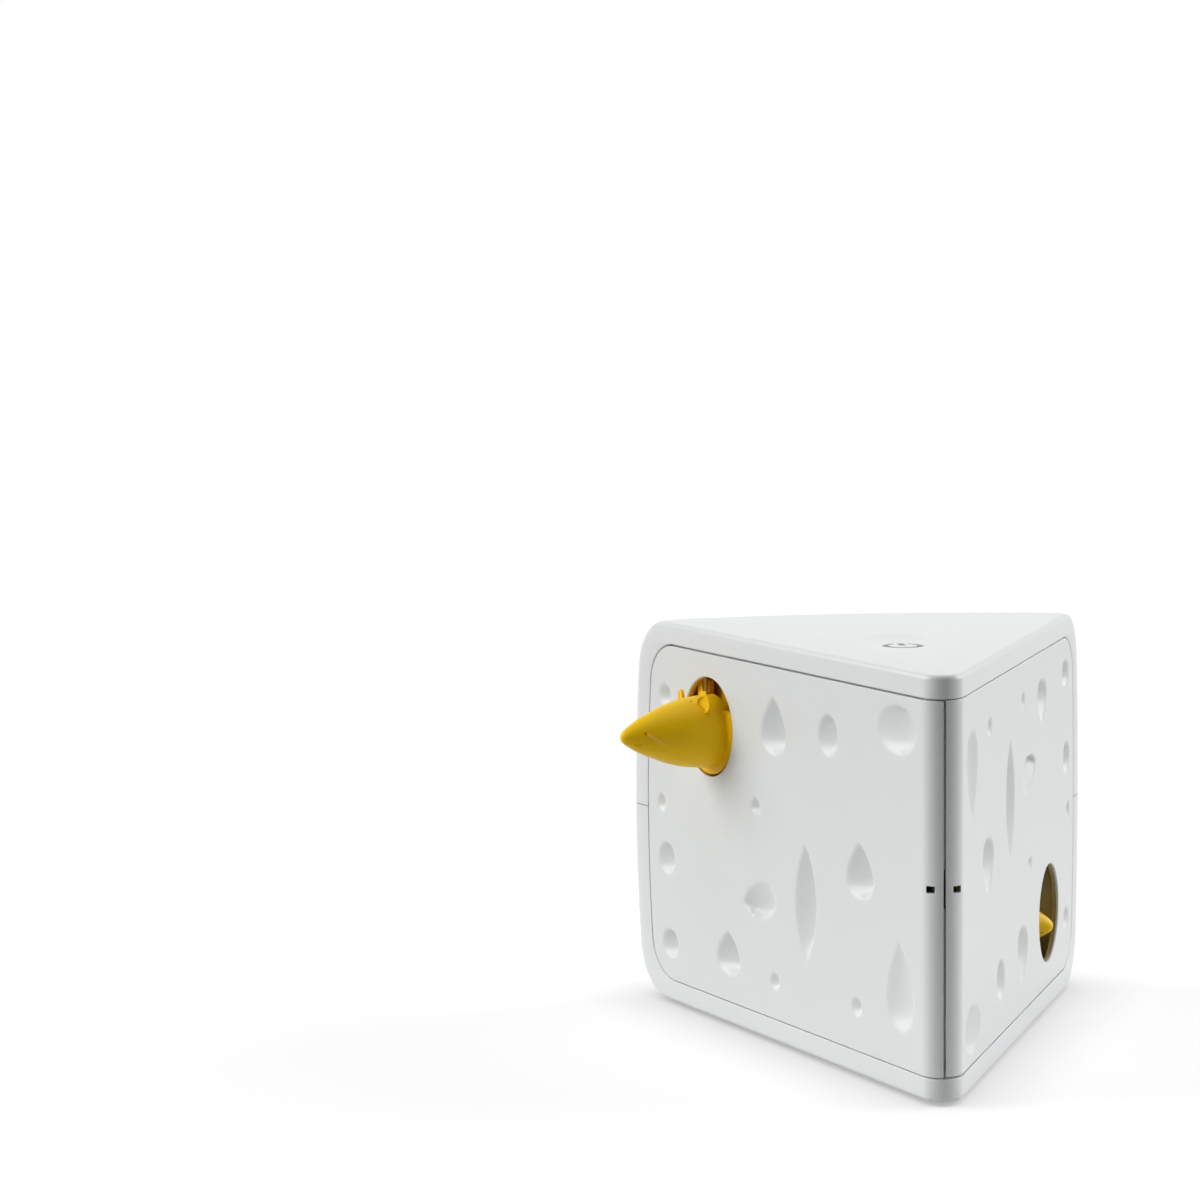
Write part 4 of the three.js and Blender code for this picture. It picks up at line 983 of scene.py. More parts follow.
@dataclass
class Case:
    """The two shells, with the seam opening, the door hole and the bosses."""

    toy: Toy
    door: Door = field(default_factory=Door)
    parting_gap: float = 0.4
    seam_edge: float = 0.35
    seam_past: float = 0.4
    near: Point = (-140.0, -10.0, -30.0)
    far: Point = (140.0, 270.0, 190.0)
    across: float = 130.0
    ledge_gap: float = 0.3
    ledge_depth: float = 5.2
    ledge_outer: float = 3.9
    ledge_inner: float = 3.0
    ledge_low: float = -8.0
    ledge_drop: float = 1.5
    core_ends: Flat = (-20.0, 170.0)
    overlap: float = 1.0
    screw_reach: float = 216.0
    screw_depth: float = 13.0
    back_screw: Flat = (0.0, 216.0)
    screw_boss: float = 5.0
    screw_bore: float = 1.7
    upper_bore: Flat = (60.0, 87.0)
    lower_bore: Flat = (58.0, 74.0)
    well_radius: float = 3.3
    well_top: float = 59.8
    foot: Flat = (0.0, 38.0)
    foot_radius: float = 6.6
    foot_sunk: float = 1.2
    foot_room: float = 0.3
    spindle: Flat = (0.0, 34.0)
    spindle_boss: float = 7.2
    spindle_bore: float = 4.5
    spindle_grip: float = 13.0
    spindle_stop: float = 2.4
    button: Flat = (0.0, 111.0)
    button_hole: float = 8.6
    button_flare: float = 0.25
    button_lead_in: Flat = (1.0, 0.5)
    button_past: Flat = (3.0, 2.0)
    rim_radius: float = 10.2
    rim_ends: Flat = (1.0, 0.5)
    board_screws: tuple[Flat, Flat] = ((-8.97, 96.5), (8.97, 137.5))
    board_post: float = 3.0
    board_drop: float = 11.1
    board_bore: float = 1.2
    board_bore_ends: Flat = (13.0, 5.0)
    dish_y: float = 123.0
    dish_radii: Flat = (15.5, 27.5)
    dish_depth: float = 1.2
    dish_steps: int = 12
    dish_tip: float = 0.02
    dish_past: float = 3.0

    def build(self) -> None:
        """Builds both shells and reports them."""
        whole = self.rind()
        lower = Workshop.twin(whole, "case_lower", Matrix.Identity(4))
        start, end = WEDGE.middle - self.parting_gap / 2, WEDGE.middle + self.parting_gap / 2
        lower_half = Workshop.block("below_cut", self.near, (*self.far[:2], end))
        upper_half = Workshop.block("above_cut", (*self.near[:2], start), self.far)
        upper = Workshop.combine(whole, Cut.TAKE, lower_half)
        Workshop.combine(lower, Cut.TAKE, upper_half)
        self.finish_upper(upper)
        self.finish_lower(lower)

    def rind(self) -> bpy.types.Object:
        """The wall of the whole case, opened where the panels lie, with the ledge behind them.

        Returns:
            The wall, in one piece.
        """
        whole = Workshop.skin("case_upper", WEDGE.body_rings(0.0, True))
        hollow = Workshop.skin("case_hollow", WEDGE.body_rings(WEDGE.wall, False))
        zone = Workshop.bar("seam_cut", WEDGE.zone(0.0), (-self.across, self.across))
        Workshop.combine(whole, Cut.TAKE, hollow, zone)
        ledge = self.ledge()
        Workshop.combine(whole, Cut.TAKE, *self.seam_rounding())
        return Workshop.combine(whole, Cut.JOIN, ledge)

    def ledge(self) -> bpy.types.Object:
        """The step behind the panel's edge that the panel lies on.

        Returns:
            The step, all round both side faces.
        """
        outer = WEDGE.plan(WEDGE.panel_wall + self.ledge_gap, 0.0)
        inner = WEDGE.plan(self.ledge_depth, 0.0)
        far = self.across + self.overlap
        ends = (-self.across, self.across)
        step = Workshop.prism("ledge", outer, (self.ledge_low, WEDGE.top - self.ledge_drop))
        core = Workshop.prism("ledge_core", inner, self.core_ends)
        wide = Workshop.bar("ledge_zone", WEDGE.zone(self.ledge_outer), ends)
        open_zone = Workshop.bar("ledge_open", WEDGE.zone(-self.ledge_inner), (-far, far))
        Workshop.combine(step, Cut.TAKE, core)
        Workshop.combine(step, Cut.KEEP, wide)
        return Workshop.combine(step, Cut.TAKE, open_zone)

    def seam_rounding(self) -> list[bpy.types.Object]:
        """What rounds the case's edge along the seam.

        Returns:
            The cutters.
        """
        edge = self.seam_edge
        rows = [(edge, -self.overlap), *rounding(edge), (0.0, edge + self.seam_past)]
        tools = [Workshop.skin(f"seam_{side.name}", WEDGE.seam_rings(side, rows)) for side in Side]
        for level, up in ((WEDGE.face_height, 1), (0.0, -1)):
            tools.append(self.nose_hoop(f"nose_{up}", level, up, edge))
        return tools

    @staticmethod
    def nose_hoop(name: str, level: float, up: int, edge: float) -> bpy.types.Object:
        """A hoop round the nose that rounds an edge there.

        Args:
            name: The name of the cutter.
            level: The height of the sharp edge.
            up: 1 where the material lies above the edge, -1 where it lies below.
            edge: The radius of the rounded edge.

        Returns:
            The cutter.
        """
        radius = WEDGE.nose_radius
        proud = radius + 0.02
        past = up * 0.2
        rows = [(proud, level - past), (proud, level + up * edge)]
        rows += [(radius - depth, level + up * grow) for grow, depth in rounding(edge)]
        rows.append((radius - edge, level - past))
        return Workshop.skin(name, upright((0.0, WEDGE.nose_centre), rows, FINE), closed=True)

    def screw_places(self) -> list[Flat]:
        """Where the three case screws stand."""
        x, y, _ = WEDGE.on_face(Side.LEFT, self.screw_reach, -self.screw_depth, 0.0)
        return [(x, y), (-x, y), self.back_screw]

    def finish_upper(self, upper: bpy.types.Object) -> None:
        """Adds the bosses, the dish and the button hole to the upper shell.

        Args:
            upper: The upper part of the rind.
        """
        top, roof = WEDGE.top, WEDGE.top - WEDGE.wall
        root, grip = roof + self.overlap, roof - self.spindle_grip
        screws = self.screw_places()
        parting = WEDGE.middle + self.parting_gap / 2
        sunk, raised = self.rim_ends
        bosses = [
            *Post(self.screw_boss, parting, root).at(*screws),
            *Post(self.spindle_boss, grip, root).at(self.spindle),
            *Post(self.rim_radius, roof - sunk, roof + raised).at(self.button),
            *Post(self.board_post, roof - self.board_drop, root, SMALL).at(*self.board_screws),
        ]
        Workshop.combine(upper, Cut.JOIN, *bosses)
        stop, low, high = roof - self.spindle_stop, *self.board_bore_ends
        bores = [
            *Post(self.screw_bore, *self.upper_bore, TINY).at(*screws),
            *Post(self.spindle_bore, grip - self.overlap, stop, SMALL).at(self.spindle),
            *Post(self.board_bore, roof - low, roof - high, TINY).at(*self.board_screws),
        ]
        hole, flare = self.button_hole, self.button_hole + self.button_flare
        (deep, shallow), (below, above) = self.button_lead_in, self.button_past
        rows = [(hole, roof - below), (hole, top - deep), (flare, top - shallow), (flare, top + above)]
        opening = Workshop.skin("button_bore", upright(self.button, rows, ROUND))
        Workshop.combine(upper, Cut.TAKE, *bores, opening, self.dish())
        Workshop.smooth(upper)
        self.toy.hand_over(upper, "casing", "case_white", "casing_white", "upper_shell")

    def dish(self) -> bpy.types.Object:
        """The shallow oval dish round the button.

        Returns:
            The cutter.
        """
        wide, long = self.dish_radii
        rows = []
        for k in range(self.dish_steps + 1):
            share = math.sin(math.pi / 2 * k / self.dish_steps)
            rows.append((share, WEDGE.top - self.dish_depth * (1 - share**2) ** 1.5))
        rows[0] = (self.dish_tip, rows[0][1])
        rows.append((1.0, WEDGE.top + self.dish_past))
        rings = []
        for share, z in rows:
            around = Arc((0.0, 0.0), share).ring(ROUND)
            rings.append([(wide * x, self.dish_y + long * y, z) for x, y in around])
        return Workshop.skin("dish", rings)

    def finish_lower(self, lower: bpy.types.Object) -> None:
        """Adds the bosses, the door hole, the wells and the foot seats to the lower shell.

        Args:
            lower: The lower part of the rind.
        """
        base, floor = -WEDGE.cap_band, WEDGE.wall - WEDGE.cap_band
        below, root = base - self.overlap, floor - self.overlap
        grip, stop = floor + self.spindle_grip, floor + self.spindle_stop
        screws, door = self.screw_places(), self.door
        parting = WEDGE.middle - self.parting_gap / 2
        bosses = [
            *Post(self.screw_boss, root, parting).at(*screws),
            *Post(self.spindle_boss, root, grip).at(self.spindle),
            *Post(door.screw_boss, root, floor + door.screw_boss_height, SMALL).at(door.screw),
        ]
        Workshop.combine(lower, Cut.JOIN, *bosses, door.rail_block(floor))
        seat, sunk = self.foot_radius + self.foot_room, self.foot_sunk + self.foot_room
        bores = [
            *Post(self.well_radius, below, self.well_top, SMALL).at(*screws),
            *Post(self.screw_bore, *self.lower_bore, TINY).at(*screws),
            *Post(self.spindle_bore, stop, grip + self.overlap, SMALL).at(self.spindle),
            *Post(door.screw_bore, below, floor + door.screw_bore_height, TINY).at(door.screw),
            *Post(seat, below, base + sunk).at(self.foot, *screws[:2]),
        ]
        Workshop.combine(lower, Cut.TAKE, *bores, *door.cutters(below, base, floor))
        Workshop.smooth(lower)
        self.toy.hand_over(lower, "casing", "case_white", "casing_white", "lower_shell")


class Hollow(Enum):
    """The outlines that the panel's hollows have, as powers at their pointed and round ends."""

    DROP = (1.0, 0.5)
    EGG = (0.72, 0.5)
    SLIT = (1.0, 1.0)
    ROUND = (0.5, 0.5)


@dataclass(frozen=True)
class Dent:
    """One hollow in a side panel: a slanted cut, deeper to one side, that ends in a steep rise."""

    reach: float
    height: float
    wide: float
    tall: float
    form: Hollow = Hollow.ROUND
    slant: float = 0.31
    lean: float = 0.0
    deep_side: int = -1
    crest: float = 0.72
    straight: float = 0.7
    run_out: float = 0.45
    softness: float = 0.6
    margin: float = 1.5

    def near(self, reach: float, height: float) -> bool:
        """Whether a point of the face lies in or close to the hollow."""
        room = max(self.wide, self.tall) / 2 + self.margin
        return abs(reach - self.reach) < room and abs(height - self.height) < room

    def depth(self, reach: float, height: float) -> float:
        """How deep the hollow is at a point of the face.

        Args:
            reach: The distance along the face.
            height: The height.

        Returns:
            The depth, 0 outside the hollow.
        """
        across, up = reach - self.reach, height - self.height
        turn = math.radians(self.lean)
        u = (across * math.cos(turn) + up * math.sin(turn)) * 2 / self.wide
        v = (up * math.cos(turn) - across * math.sin(turn)) * 2 / self.tall
        if abs(v) >= 1:
            return 0.0
        tip, tail = self.form.value
        peak = (tail - tip) / (tip + tail)
        scale = (1 - peak) ** tip * (1 + peak) ** tail
        half = (1 - v) ** tip * (1 + v) ** tail / scale
        if abs(u) >= half:
            return 0.0
        along = self.deep_side * u / half
        if along < self.crest:
            share = (along + 1) / (1 + self.crest)
            bend = max(share - self.straight, 0.0) ** 2 / (1 - self.straight) / 2
            share = (share - bend) / ((1 + self.straight) / 2)
        else:
            share = math.sqrt(1 - ((along - self.crest) / (1 - self.crest)) ** 2)
        rise = math.sin(math.pi / 2 * min((1 + v) / self.run_out, 1.0))
        steep = self.slant * self.wide * (1 + self.crest) / 2
        return steep * half * share * rise**self.softness


@dataclass
class SidePanels:
    """The two side panels: one moulding, used upright on the left and upside down on the right."""

    toy: Toy
    gap: float = 0.6
    sag: float = 0.2
    edge: float = 0.3
    nose_gap: float = 0.9
    nose_start: float = 0.12
    proud: float = 0.03
    cut_reach: float = 8.0
    cut_depth: float = 40.0
    cut_levels: Flat = (-3.0, 146.0)
    outline_ends: Flat = (-3.0, 12.0)
    hole_radius: float = 20.5
    hole_edge: float = 0.6
    hole_ends: Flat = (-9.0, 3.0)
    pitch: float = 0.9
    evening: float = 0.4
    crease: float = 40.0
    tongue_reach: float = 0.42
    tongue_room: float = 0.3
    tongue_root: float = 0.3
    tongue_start: float = 0.08
    tongue_wall: float = 1.0
    tongue_steps: tuple[int, int, int] = (6, 8, 14)
    tongue_ends: Flat = (3.4, 64.0)
    window_across: Flat = (-6.5, -3.3)
    window_depth: Flat = (2.0, 26.0)
    window_half: float = 1.35
    window_edge: float = 0.25
    lip: float = 1.1
    lip_room: float = 1.2
    overrun: float = 4.0
    thin_wall: float = 0.6
    dents: tuple[Dent, ...] = (
        Dent(223.6, 121.0, 9.9, 8.5),
        Dent(132.1, 119.0, 19.4, 23.0, Hollow.DROP),
        Dent(89.3, 120.4, 14.2, 15.6),
        Dent(38.6, 128.8, 27.0, 18.2, slant=0.15),
        Dent(227.2, 74.9, 7.0, 6.8),
        Dent(146.6, 85.1, 7.4, 6.4, Hollow.DROP),
        Dent(223.0, 51.7, 13.6, 12.9),
        Dent(143.4, 46.9, 14.3, 26.4, Hollow.EGG, lean=-102.0, deep_side=1),
        Dent(106.7, 51.3, 15.7, 48.0, Hollow.SLIT),
        Dent(65.5, 71.1, 19.4, 21.8, Hollow.DROP),
        Dent(220.2, 15.7, 13.6, 11.2),
        Dent(169.9, 20.8, 18.8, 17.8, Hollow.DROP),
        Dent(131.5, 15.6, 6.6, 6.4),
        Dent(68.0, 17.6, 7.5, 6.6),
        Dent(36.2, 31.7, 18.7, 35.0, Hollow.DROP, slant=0.16, straight=0.3),
    )

    def build(self) -> None:
        """Builds both panels and reports them."""
        left = self.moulding()
        turn = Matrix.Rotation(math.pi, 4, "Y")
        middle = ORIGIN.metres((0.0, 0.0, WEDGE.middle))
        axis = Matrix.Translation((0.0, 0.0, middle.z))
        right = Workshop.twin(left, "panel_right", axis @ turn @ axis.inverted())
        for obj, node in ((left, "left_panel"), (right, "right_panel")):
            Workshop.smooth(obj, self.crease)
            self.toy.hand_over(obj, "casing", "panel_white", "casing_white", node)

    def moulding(self) -> bpy.types.Object:
        """The left panel: a dented sheet, trimmed to its outline, bored and slotted.

        Returns:
            The panel, not yet smoothed.
        """
        sheet = self.sheet()
        outside, inside = self.outline_ends
        rows = [(self.edge, outside), *rounding(self.edge), (0.0, inside)]
        rows = [(-self.gap - grow, depth) for grow, depth in rows]
        outline = WEDGE.seam_rings(Side.LEFT, rows, self.sag)
        Workshop.combine(sheet, Cut.KEEP, Workshop.skin("panel_outline", outline))
        top, base = WEDGE.face_height - self.gap - self.sag, self.gap - self.sag
        tools = [
            Case.nose_hoop("hoop_top", top, -1, self.edge),
            Case.nose_hoop("hoop_low", base, 1, self.edge),
            self.nose_cut(),
            self.hole(),
            self.window(),
        ]
        Workshop.combine(sheet, Cut.TAKE, *tools)
        return Workshop.combine(sheet, Cut.JOIN, self.tongue())

    def columns(self) -> list[tuple[Vector, Vector, float]]:
        """Places across the panel, from the nose round onto the face and along it.

        Returns:
            The place from above, the way outward and the reach, which is below 0 on the nose.
        """
        half = WEDGE.half
        centre = Vector((0.0, WEDGE.nose_centre, 0.0))
        arc = Arc((0.0, WEDGE.nose_centre), WEDGE.nose_radius)
        start = self.nose_start - math.pi / 2
        places = []
        for x, y in arc.points(start, -math.pi + half, WEDGE.nose_steps)[:-1]:
            place = Vector((x, y, 0.0))
            places.append((place, (place - centre).normalized(), -1.0))
        out = Vector((-math.cos(half), -math.sin(half), 0.0))
        tangent = WEDGE.nose_centre * math.cos(half)
        far = WEDGE.seam_reach + self.overrun
        count = round((far - tangent) / self.pitch)
        for k in range(count + 1):
            reach = tangent + (far - tangent) * k / count
            places.append((Vector(WEDGE.on_face(Side.LEFT, reach, 0.0, 0.0)), out, reach))
        return places

    def hollow(self, reach: float, height: float) -> float:
        """The depth at a point, evened out over one cell of the grid, which smooths the outlines.

        Args:
            reach: The distance along the face.
            height: The height.

        Returns:
            The depth, 0 on the plain face.
        """
        near = [dent for dent in self.dents if dent.near(reach, height)]
        if not near:
            return 0.0
        step = self.pitch * self.evening
        steps = (-step, 0.0, step)
        spots = [(reach + across, height + up) for across in steps for up in steps]
        return sum(max(dent.depth(*spot) for dent in near) for spot in spots) / len(spots)

    def sheet(self) -> bpy.types.Object:
        """A sheet that follows the nose, the face and the dents, with a thinner wall behind them.

        Returns:
            The sheet, larger all round than the panel.
        """
        columns = self.columns()
        tall = WEDGE.face_height + self.overrun
        rows = round(tall / self.pitch)
        heights = [-self.overrun / 2 + tall * k / rows for k in range(rows + 1)]
        Workshop.deselect()
        bpy.ops.mesh.primitive_grid_add(
            x_subdivisions=len(columns) - 1, y_subdivisions=len(heights) - 1, size=2.0
        )
        obj = bpy.context.object
        outer: list[float] = []
        behind: list[Vector] = []
        for z in heights:
            for place, out, reach in columns:
                deep = self.hollow(reach, z) if reach > 0 else 0.0
                at = place + Vector((0.0, 0.0, z))
                outer.extend(ORIGIN.metres(at - out * deep))
                wall = max(WEDGE.panel_wall, deep + self.thin_wall)
                behind.append(ORIGIN.metres(at - out * wall))
        obj.data.vertices.foreach_set("co", outer)
        bpy.ops.object.mode_set(mode="EDIT")
        bpy.ops.mesh.select_all(action="SELECT")
        mesh = bmesh.from_edit_mesh(obj.data)
        backs = {tuple(vertex.co): back for vertex, back in zip(mesh.verts, behind)}
        bpy.ops.mesh.extrude_region_move()
        mesh = bmesh.from_edit_mesh(obj.data)
        for vertex in mesh.verts:
            if vertex.select:
                vertex.co = backs[tuple(vertex.co)]
        bmesh.update_edit_mesh(obj.data)
        bpy.ops.mesh.select_all(action="SELECT")
        bpy.ops.mesh.normals_make_consistent(inside=False)
        bpy.ops.object.mode_set(mode="OBJECT")
        return Workshop.settle(obj, "panel_left")

    def nose_cut(self) -> bpy.types.Object:
        """What parts this panel from the other at the nose, with a rounded edge.

        Returns:
            The cutter.
        """
        front = WEDGE.nose_centre - WEDGE.nose_radius + self.proud
        edge = -self.nose_gap / 2
        section = [(self.cut_reach, 0.0), (edge - self.edge, 0.0)]
        section += [(edge - grow, front + depth) for grow, depth in rounding(self.edge)]
        section += [(edge, self.cut_depth), (self.cut_reach, self.cut_depth)]
        return Workshop.prism("nose_cut", section, self.cut_levels)

    def tongue(self) -> bpy.types.Object:
        """The lap that closes the gap from behind along the lower half of the nose.

        Returns:
            A strip that starts in this panel's wall and ends behind the other panel.
        """
        inner = WEDGE.nose_radius - WEDGE.panel_wall
        centre = (0.0, WEDGE.nose_centre)
        front = -math.pi / 2
        left, right = front - self.tongue_reach, front + self.tongue_reach
        root = Arc(centre, inner + self.tongue_root)
        lap = Arc(centre, inner - self.tongue_room)
        back = Arc(centre, inner - self.tongue_room - self.tongue_wall)
        first, second, third = self.tongue_steps
        strip = [
            *root.points(left, front - self.nose_start, first),
            *lap.points(front - self.tongue_start, right, second),
            *back.points(right, left, third),
        ]
        return Workshop.prism("tongue", strip, self.tongue_ends)

    def hole(self) -> bpy.types.Object:
        """The round hole for the mouse, with a rounded edge.

        Returns:
            The cutter.
        """
        wide = self.hole_radius + self.lip_room
        inside, outside = self.hole_ends
        rows = [(wide, inside), (wide, -self.lip), (self.hole_radius, -self.lip)]
        edge = reversed(rounding(self.hole_edge))
        rows += [(self.hole_radius + grow, -depth) for grow, depth in edge]
        rows.append((self.hole_radius + self.hole_edge, outside))
        return Workshop.skin("mouse_hole", UPPER_HOLE.rings(rows))

    def window(self) -> bpy.types.Object:
        """The small square window near the nose.

        Returns:
            The cutter.
        """
        left, right = self.window_across
        front, back = self.window_depth
        low, high = WEDGE.middle - self.window_half, WEDGE.middle + self.window_half
        return Workshop.block("window", (left, front, low), (right, back, high), self.window_edge)


@dataclass
class Linings:
    """The two short sleeves behind the panels that lead from each hole into its guard. Their brown and
    olive guard finishes cover the white hole walls with painted shade and painted yellow reflection.
    """

    toy: Toy
    radius: float = 20.6
    wall: float = 0.9
    front: float = -1.3
    back: float = -2.65

    def build(self) -> None:
        """Builds both sleeves and reports them."""
        inner, outer = self.radius, self.radius + self.wall
        edge = self.wall / 3
        rows = [
            (inner, self.back), (outer, self.back), (outer, self.front - edge),
            (outer - edge, self.front), (inner + edge, self.front), (inner, self.front - edge),
        ]
        # each sleeve takes its guard's painted shade: brown in the upper hole, olive in the lower
        for hole, finish in ((UPPER_HOLE, "guard_yellow"), (LOWER_HOLE, "guard_olive_painted_shade")):
            sleeve = Workshop.skin(f"hole_lining_{hole.name}", hole.rings(rows), closed=True)
            Workshop.smooth(sleeve)
            self.toy.hand_over(sleeve, "casing", finish, "guard_yellow")


@dataclass(frozen=True)
class Stroke:
    """A round bar on the head, or a ball where its two ends are one point."""

    start: Point
    end: Point
    radius: float


@dataclass(frozen=True)
class MouseShape:
    """The sizes of a toy mouse, as distances across, out of the face and up, and radii."""

    profile: tuple[Flat, ...] = (
        (15.0, -2.8), (15.0, 0.0), (14.95, 2.5), (14.7, 5.8), (14.35, 9.0), (13.8, 12.7),
        (13.25, 15.2), (12.6, 17.4), (11.9, 19.8), (11.1, 22.0), (10.2, 24.4), (9.2, 26.8),
        (7.9, 30.0), (6.5, 32.8), (5.2, 35.1), (3.9, 37.2), (3.15, 38.3), (2.5, 39.1),
        (1.7, 39.8), (0.8, 40.25),
    )
    crease: float = 35.0
    wall: float = 1.8
    hollow_past: float = 1.2
    hollow_tip: Flat = (0.4, 1.0)
    collar_radius: float = 19.6
    collar_front: float = -0.4
    collar_back: float = -2.8
    collar_edge: float = 0.4
    notch_across: Flat = (-30.0, 30.0)
    notch_out: Flat = (-9.0, 9.0)
    notch_height: float = 7.9
    notch_top: float = 30.0
    ear_rows: tuple[Flat, ...] = (
        (1.2, 0.05), (2.6, 0.15), (3.3, 0.75), (3.8, 0.72), (4.0, 0.45), (4.0, -0.45),
        (3.8, -0.72), (2.6, -0.8),
    )
    ear_reach: float = 9.8
    ear_out: float = 7.0
    ear_rise: float = 12.6
    ear_splay: float = math.radians(17.0)
    rod_offset: float = 11.0
    rod_depth: float = 4.8
    rod_room: float = 1.2
    rod_half: float = 40.0
    knee_half: float = 3.8
    knee_back: float = 2.4
    knee_front: float = 1.6
    knee_top: float = 18.2
    knee_bottom: float = 12.0
    knee_edge: float = 0.6
    groove_length: float = 7.0
    groove_drop: float = 4.6
    groove_past: float = 2.0
    web_reach: float = 17.0
    web_bottom: float = 10.0
    web_overlap: float = 0.5
    eye: Stroke = Stroke((6.4, 32.3, 1.8), (6.4, 32.3, 1.8), 0.75)
    mouth: Stroke = Stroke((4.2, 35.9, -2.2), (5.1, 33.8, -2.9), 0.35)
    dimple: Stroke = Stroke((5.2, 10.4, 13.6), (5.2, 10.4, 13.6), 0.9)
    whisker: Stroke = Stroke((7.2, 31.0, 1.3), (9.5, 25.2, -2.3), 0.52)


@dataclass(frozen=True)
class Head:
    """How one mouse's head lies: a little below its hole's centre and tilted down."""

    hole: Hole
    drop: float
    droop: float

    def place(self, across: float, out: float, rise: float) -> Point:
        """A point given in the head's own directions."""
        cos, sin = math.cos(self.droop), math.sin(self.droop)
        return self.hole.place(across, out * cos + rise * sin, rise * cos - out * sin - self.drop)

    def rings(self, rows: Sequence[Flat], sides: int = ROUND) -> list[Ring]:
        """Rings about the head's axis.

        Args:
            rows: Pairs of radius and distance out.
            sides: How many points each ring has.

        Returns:
            The rings.
        """
        return [
            [self.place(across, out, rise) for across, rise in Arc((0.0, 0.0), radius).ring(sides)]
            for radius, out in rows
        ]

    def mark(self, name: str, stroke: Stroke, hand: int) -> bpy.types.Object:
        """A round bar or ball on one side of the head.

        Args:
            name: Its name.
            stroke: Where it lies on the side nearer to the back of the case.
            hand: -1 or 1 for the side nearer to the nose of the case or to its back.

        Returns:
            The solid.
        """
        ends = [
            self.place(hand * across, out, rise)
            for across, out, rise in (stroke.start, stroke.end)
        ]
        return Workshop.skin(name, bead(*ends, stroke.radius))


